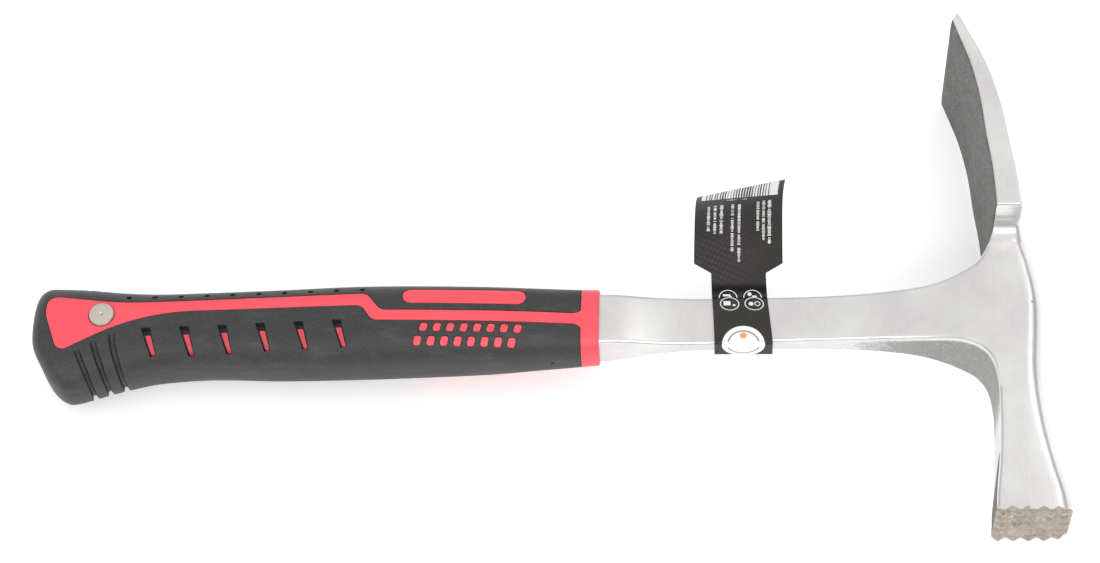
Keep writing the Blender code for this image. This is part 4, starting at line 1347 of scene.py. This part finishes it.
def steelFinish():
    material, tree, shader = newFinish("groundSteel", Metallic=1.0)
    space = objectSpace(tree)
    grind = wire(tree, "ShaderNodeGroup", {"Vector": space, "Scale": 900.0, "Stretch": 0.3},
                 node_tree=grindLines)
    lines = grind.outputs["Lines"]
    skin = speckled(tree, space, 1500.0, 420.0, 0.16, 48.0)
    grain = skin.outputs["Grain"]
    blotch = wire(tree, "ShaderNodeTexNoise", {"Vector": space, "Scale": 190.0, "Detail": 5.0,
                                               "Roughness": 0.62}).outputs[0]
    # Where the forge's skin is whole, and the painted shade towards the shank's root, both with ragged edges
    ragged = calc(tree, "MULTIPLY_ADD", grain, 0.9, -0.45)
    loose = calc(tree, "MULTIPLY_ADD", blotch, 1.1, -0.62)
    dark = span(tree, calc(tree, "ADD", mask(tree, "darkSkin"), ragged), 0.36, 0.62, 0.0, 1.0, True)
    uneven = calc(tree, "ADD", mask(tree, "rootSkin"), calc(tree, "ADD", ragged, loose))
    rootShadeShare = span(tree, uneven, 0.2, 1.0, 0.0, 1.0, True)
    # Bright ground steel, with one small pit in the hub
    pale = blendColour(tree, span(tree, skin.outputs["Cloud"], 0.35, 0.65, 0.0, 1.0), (0.62, 0.605, 0.60),
                       (0.72, 0.715, 0.70))
    lined = blendColour(tree, span(tree, lines, 0.3, 0.7, 0.0, 0.3), pale, (0.76, 0.76, 0.76))
    reach = wire(tree, "ShaderNodeVectorMath", {0: space, 1: tuple(place(steelSizes["hubPit"]))},
                 operation="DISTANCE")
    pit = span(tree, reach.outputs["Value"], 0.0003, 0.0007, 0.7, 0.0)
    scored = blendColour(tree, pit, lined, (0.10, 0.10, 0.10))
    # Painted shade: darker, mottled grey steel towards the shank's root
    shadedSteel = blendColour(tree, blotch, (0.12, 0.135, 0.12), (0.46, 0.47, 0.45))
    ground = blendColour(tree, calc(tree, "MULTIPLY", rootShadeShare, 0.85), scored, shadedSteel)
    # Dark forged skin, pitted and stained
    rough = blendColour(tree, span(tree, grain, 0.34, 0.68, 0.0, 1.0), (0.075, 0.075, 0.075),
                        (0.25, 0.245, 0.24))
    pitted = blendColour(tree, calc(tree, "MULTIPLY", skin.outputs["Specks"], 0.5), rough, (0.36, 0.35, 0.35))
    stained = blendColour(tree, span(tree, blotch, 0.48, 0.66, 0.0, 0.75), pitted, (0.105, 0.125, 0.095))
    tree.links.new(blendColour(tree, dark, ground, stained), shader.inputs["Base Color"])
    coarse = calc(tree, "MAXIMUM", dark, rootShadeShare)
    satin = span(tree, lines, 0.3, 0.7, 0.27, 0.36)
    tree.links.new(calc(tree, "MULTIPLY_ADD", coarse, 0.3, satin), shader.inputs["Roughness"])
    heavy = calc(tree, "MULTIPLY", calc(tree, "MULTIPLY", grain, coarse), 3.0)
    addBump(tree, shader, calc(tree, "ADD", heavy, calc(tree, "MULTIPLY", lines, 0.12)), 0.45, 0.0002)
    return material


def castFaceFinish():
    material, tree, shader = newFinish("strikingFace", Metallic=0.45, Coat_Weight=0.25, Coat_Roughness=0.3)
    skin = speckled(tree, objectSpace(tree), 1100.0, 600.0, 0.2, 160.0)
    body = blendColour(tree, span(tree, skin.outputs["Grain"], 0.3, 0.7, 0.0, 1.0), (0.20, 0.165, 0.125),
                       (0.44, 0.385, 0.31))
    lit = blendColour(tree, calc(tree, "MULTIPLY", skin.outputs["Specks"], 0.6), body, (0.82, 0.74, 0.55))
    dusty = blendColour(tree, span(tree, skin.outputs["Cloud"], 0.35, 0.7, 0.0, 0.5), lit, (0.52, 0.47, 0.40))
    paint(tree, shader, dusty, skin, 0.42, 0.62)
    addBump(tree, shader, skin.outputs["Grain"], 0.4, 0.00025)
    return material


def rubberFinish():
    material, tree, shader = newFinish("darkRubber", Specular_IOR_Level=0.46)
    space = objectSpace(tree)
    skin = speckled(tree, space, 2300.0, 2300.0, 0.17, 45.0)
    body = blendColour(tree, skin.outputs["Cloud"], (0.013, 0.0145, 0.0135), (0.034, 0.036, 0.034))
    drawn = wire(tree, "ShaderNodeMapping", {"Vector": space, "Scale": (1.0, 3.0, 3.0),
                                             "Rotation": (0.0, 0.0, 0.5)})
    scuffs = wire(tree, "ShaderNodeTexNoise", {"Vector": drawn, "Scale": 70.0, "Detail": 6.0,
                                               "Roughness": 0.7})
    rubbed = blendColour(tree, span(tree, scuffs.outputs[0], 0.52, 0.75, 0.0, 0.55), body,
                         (0.088, 0.090, 0.087))
    grainy = blendColour(tree, span(tree, skin.outputs["Grain"], 0.42, 0.72, 0.0, 0.6), rubbed,
                         (0.060, 0.065, 0.060))
    dusted = blendColour(tree, calc(tree, "MULTIPLY", skin.outputs["Specks"], 0.3), grainy,
                         (0.13, 0.135, 0.125))
    paint(tree, shader, dusted, skin, 0.42, 0.58)
    addBump(tree, shader, skin.outputs["Grain"], 0.45, 0.00022)
    return material


def redFinish():
    material, tree, shader = newFinish("redPlastic")
    skin = speckled(tree, objectSpace(tree), 2300.0, 800.0, 0.15, 90.0)
    body = blendColour(tree, skin.outputs["Cloud"], (0.86, 0.068, 0.096), (0.95, 0.093, 0.126))
    flecked = blendColour(tree, calc(tree, "MULTIPLY", skin.outputs["Specks"], 0.2), body, (1.0, 0.3, 0.33))
    paint(tree, shader, flecked, skin, 0.36, 0.5)
    addBump(tree, shader, skin.outputs["Grain"], 0.25, 0.00012)
    return material


def rivetFinish():
    material, tree, shader = newFinish("rivetSteel", Metallic=1.0)
    centre = place((rivetSizes["x"], rivetSizes["y"], 0.0))
    local = wire(tree, "ShaderNodeMapping", {"Vector": objectSpace(tree), "Location": tuple(-centre)})
    skin = speckled(tree, local.outputs[0], 2600.0, 900.0, 0.2, 420.0)
    rings = wire(tree, "ShaderNodeTexWave", {"Vector": local, "Scale": 900.0, "Distortion": 1.2,
                                             "Detail": 2.0}, wave_type="RINGS", rings_direction="Z")
    body = blendColour(tree, skin.outputs["Cloud"], (0.50, 0.455, 0.39), (0.66, 0.62, 0.56))
    dulled = blendColour(tree, span(tree, skin.outputs["Grain"], 0.5, 0.75, 0.0, 0.4), body,
                         (0.45, 0.40, 0.34))
    paint(tree, shader, dulled, skin, 0.34, 0.52)
    turned = calc(tree, "MULTIPLY", rings.outputs["Fac"], 0.3)
    addBump(tree, shader, calc(tree, "ADD", turned, skin.outputs["Grain"]), 0.3, 0.0001)
    return material


def cardFinish():
    material, tree, shader = newFinish("printedCard")
    space = objectSpace(tree)
    skin = speckled(tree, space, 2200.0, 1900.0, 0.17, 70.0)

    def slanted(degrees, scale):
        turn = (0.0, 0.0, math.radians(degrees))
        turned = wire(tree, "ShaderNodeMapping", {"Vector": space, "Rotation": turn})
        waves = wire(tree, "ShaderNodeTexWave", {"Vector": turned, "Scale": scale, "Distortion": 0.6})
        return waves.outputs["Fac"]

    # Printed twill: two crossed sets of slanting lines, stronger towards the lower left of the header
    twill = calc(tree, "MULTIPLY", slanted(28, 230.0), slanted(-62, 150.0))
    strongest = tuple(place((222.0, 22.0, 3.0)))
    reach = wire(tree, "ShaderNodeVectorMath", {0: space, 1: strongest}, operation="DISTANCE")
    near = calc(tree, "MULTIPLY", span(tree, reach.outputs["Value"], 0.004, 0.019, 1.0, 0.08, True), 0.8)
    body = blendColour(tree, skin.outputs["Cloud"], (0.009, 0.0085, 0.008), (0.036, 0.033, 0.028))
    weave = blendColour(tree, calc(tree, "MULTIPLY", twill, near), body, (0.075, 0.040, 0.058))
    flecked = blendColour(tree, calc(tree, "MULTIPLY", skin.outputs["Specks"], 0.35), weave,
                          (0.13, 0.125, 0.12))
    paper = blendColour(tree, skin.outputs["Grain"], (0.78, 0.77, 0.75), (0.88, 0.87, 0.86))
    # Painted shade along the fold: the crease line and the band above it, near black
    crease = mask(tree, "crease")
    creaseShaded = blendColour(tree, crease, flecked, (0.003, 0.003, 0.003))
    printed = span(tree, mask(tree, "printed"), 0.4, 0.6, 0.0, 1.0)
    paint(tree, shader, blendColour(tree, printed, paper, creaseShaded), skin, 0.42, 0.58)
    tree.links.new(calc(tree, "MULTIPLY_ADD", crease, -0.33, 0.35), shader.inputs["Specular IOR Level"])
    addBump(tree, shader, skin.outputs["Grain"], 0.2, 0.0001)
    return material


def paperFinish(name, low, high, roughness):
    # Ink or sticker paper: a slightly uneven single colour
    material, tree, shader = newFinish(name, Coat_Weight=0.1, Coat_Roughness=0.4)
    skin = speckled(tree, objectSpace(tree), 3000.0, 1200.0, 0.1, 300.0)
    colour = blendColour(tree, skin.outputs["Cloud"], low, high)
    paint(tree, shader, colour, skin, roughness - 0.06, roughness + 0.06)
    addBump(tree, shader, skin.outputs["Grain"], 0.15, 0.00008)
    return material


groundSteel, strikingFace = steelFinish(), castFaceFinish()
forged.data.materials.append(groundSteel)
forged.data.materials.append(strikingFace)
faceTop = place((0.0, steelSizes["faceY"] + waffle["depth"] + 0.05, 0.0)).y
for polygon in forged.data.polygons:
    polygon.material_index = 1 if polygon.center.y < faceTop and polygon.normal.y < -0.25 else 0
    if polygon.material_index:
        polygon.use_smooth = False
finishes = (
    (sleeve, rubberFinish()), (core, redFinish()), (card, cardFinish()),
    (sticker, paperFinish("stickerPaper", (0.84, 0.84, 0.83), (0.92, 0.92, 0.91), 0.35)),
    (tagPrint, paperFinish("whiteInk", (0.72, 0.72, 0.71), (0.86, 0.86, 0.85), 0.45)),
    (stickerRing, paperFinish("greyInk", (0.16, 0.15, 0.16), (0.28, 0.27, 0.27), 0.45)),
    (stickerDot, paperFinish("orangeInk", (0.80, 0.30, 0.08), (0.90, 0.42, 0.16), 0.45)),
)
rivetSteel = rivetFinish()
for piece, finish in finishes + ((rivetPost, rivetSteel), (rivetCap, rivetSteel)):
    piece.data.materials.clear()
    piece.data.materials.append(finish)
    for polygon in piece.data.polygons:
        polygon.material_index = 0
print("finishes")

# Riding on the CAD bodies

for piece, body, node, slot in (
        (forged, "hammer", "forging", "forged_steel"), (sleeve, "hammer", "grip_sleeve", "black_rubber"),
        (core, "hammer", "grip_core", "red_plastic"), (rivetPost, "hammer", "rivet_post", "rivet_steel"),
        (rivetCap, "hammer", "rivet_cap", "rivet_steel"), (card, "tag", "tag_card", "black_card"),
        (sticker, "tag", "seal_sticker", "white_label")):
    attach(piece, body)
    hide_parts(node)
for piece in (tagPrint, stickerRing, stickerDot):
    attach(piece, "tag")

# Stage, light and camera


def layFloor():
    # The hammer lies on the blade's side and the pommel, so the floor leans a little to touch both
    points = np.concatenate([np.array([v.co[:] for v in piece.data.vertices]) for piece in (forged, sleeve)])
    pivot = points[points[:, 2] < points[:, 2].min() + 0.00005]
    pivot = pivot[pivot[:, 0].argmin()]
    left = points[points[:, 0] < pivot[0] - 0.05]
    slope = float(np.min((left[:, 2] - pivot[2]) / (pivot[0] - left[:, 0])))
    reach = 8.0
    mesh = bpy.data.meshes.new("floor")
    corners = [(x, y, pivot[2] - slope * (x - pivot[0]) - 0.0001) for x, y in
               ((-reach, -reach), (reach, -reach), (reach, reach), (-reach, reach))]
    mesh.from_pydata(corners, [], [(0, 1, 2, 3)])
    floor = bpy.data.objects.new("floor", mesh)
    scene.collection.objects.link(floor)
    material, tree, shader = newFinish("paleFloor", Roughness=0.9, Specular_IOR_Level=0.1,
                                       Emission_Color=(1.0, 1.0, 1.0), Emission_Strength=0.3)
    cloud = wire(tree, "ShaderNodeTexNoise", {"Vector": objectSpace(tree), "Scale": 3.0})
    pale = blendColour(tree, cloud.outputs[0], (0.93, 0.93, 0.93), (0.96, 0.96, 0.96))
    tree.links.new(pale, shader.inputs["Base Color"])
    mesh.materials.append(material)
    print("floor leans", round(math.degrees(math.atan(slope)), 2))


def softLight(name, location, aim, size, power):
    lamp = bpy.data.lights.new(name, "AREA")
    lamp.shape = "RECTANGLE"
    lamp.size, lamp.size_y = size
    lamp.energy = power
    item = bpy.data.objects.new(name, lamp)
    item.location = location
    item.rotation_euler = (Vector(aim) - Vector(location)).to_track_quat("-Z", "Y").to_euler()
    scene.collection.objects.link(item)


def setStage():
    layFloor()
    world = bpy.data.worlds.new("studio")
    world.use_nodes = True
    tree = world.node_tree
    tree.nodes["Background"].inputs["Color"].default_value = (1.0, 1.0, 1.0, 1.0)
    # Brightest overhead and dimmer towards the horizon, like a soft box above a table
    direction = tree.nodes.new("ShaderNodeTexCoord").outputs["Generated"]
    height = wire(tree, "ShaderNodeSeparateXYZ", {0: direction}).outputs["Z"]
    strength = span(tree, height, 0.0, 0.8, 0.42, 1.05, True)
    tree.links.new(strength, tree.nodes["Background"].inputs["Strength"])
    scene.world = world
    softLight("frontSoft", (0.1, -1.0, 1.1), (0.0, 0.0, 0.0), (1.5, 0.4), 6.0)
    softLight("rightEdge", (1.0, 0.7, 1.2), (0.1, 0.0, 0.0), (0.16, 1.2), 1.6)
    scene.view_settings.view_transform = "Standard"
    scene.view_settings.look = "None"
    scene.view_settings.exposure = 0.0


def setCamera():
    # Where the lens stands, in the hammer's own millimetres, and its right, down and forward directions
    camera = bpy.data.objects.new("camera", bpy.data.cameras.new("camera"))
    right, down = (0.99805, 0.02695, -0.05640), (-0.00411, -0.87204, -0.48942)
    ahead = (-0.06238, 0.48870, -0.87022)
    turn = Matrix((right, [-v for v in down], [-v for v in ahead])).transposed().to_4x4()
    camera.matrix_world = Matrix.Translation(place((222.92, -412.12, 762.53))) @ turn
    camera.data.sensor_width = 36.0
    camera.data.lens = 36.0 * 2700.0 / 1100.0
    scene.collection.objects.link(camera)
    scene.camera = camera


setStage()
setCamera()
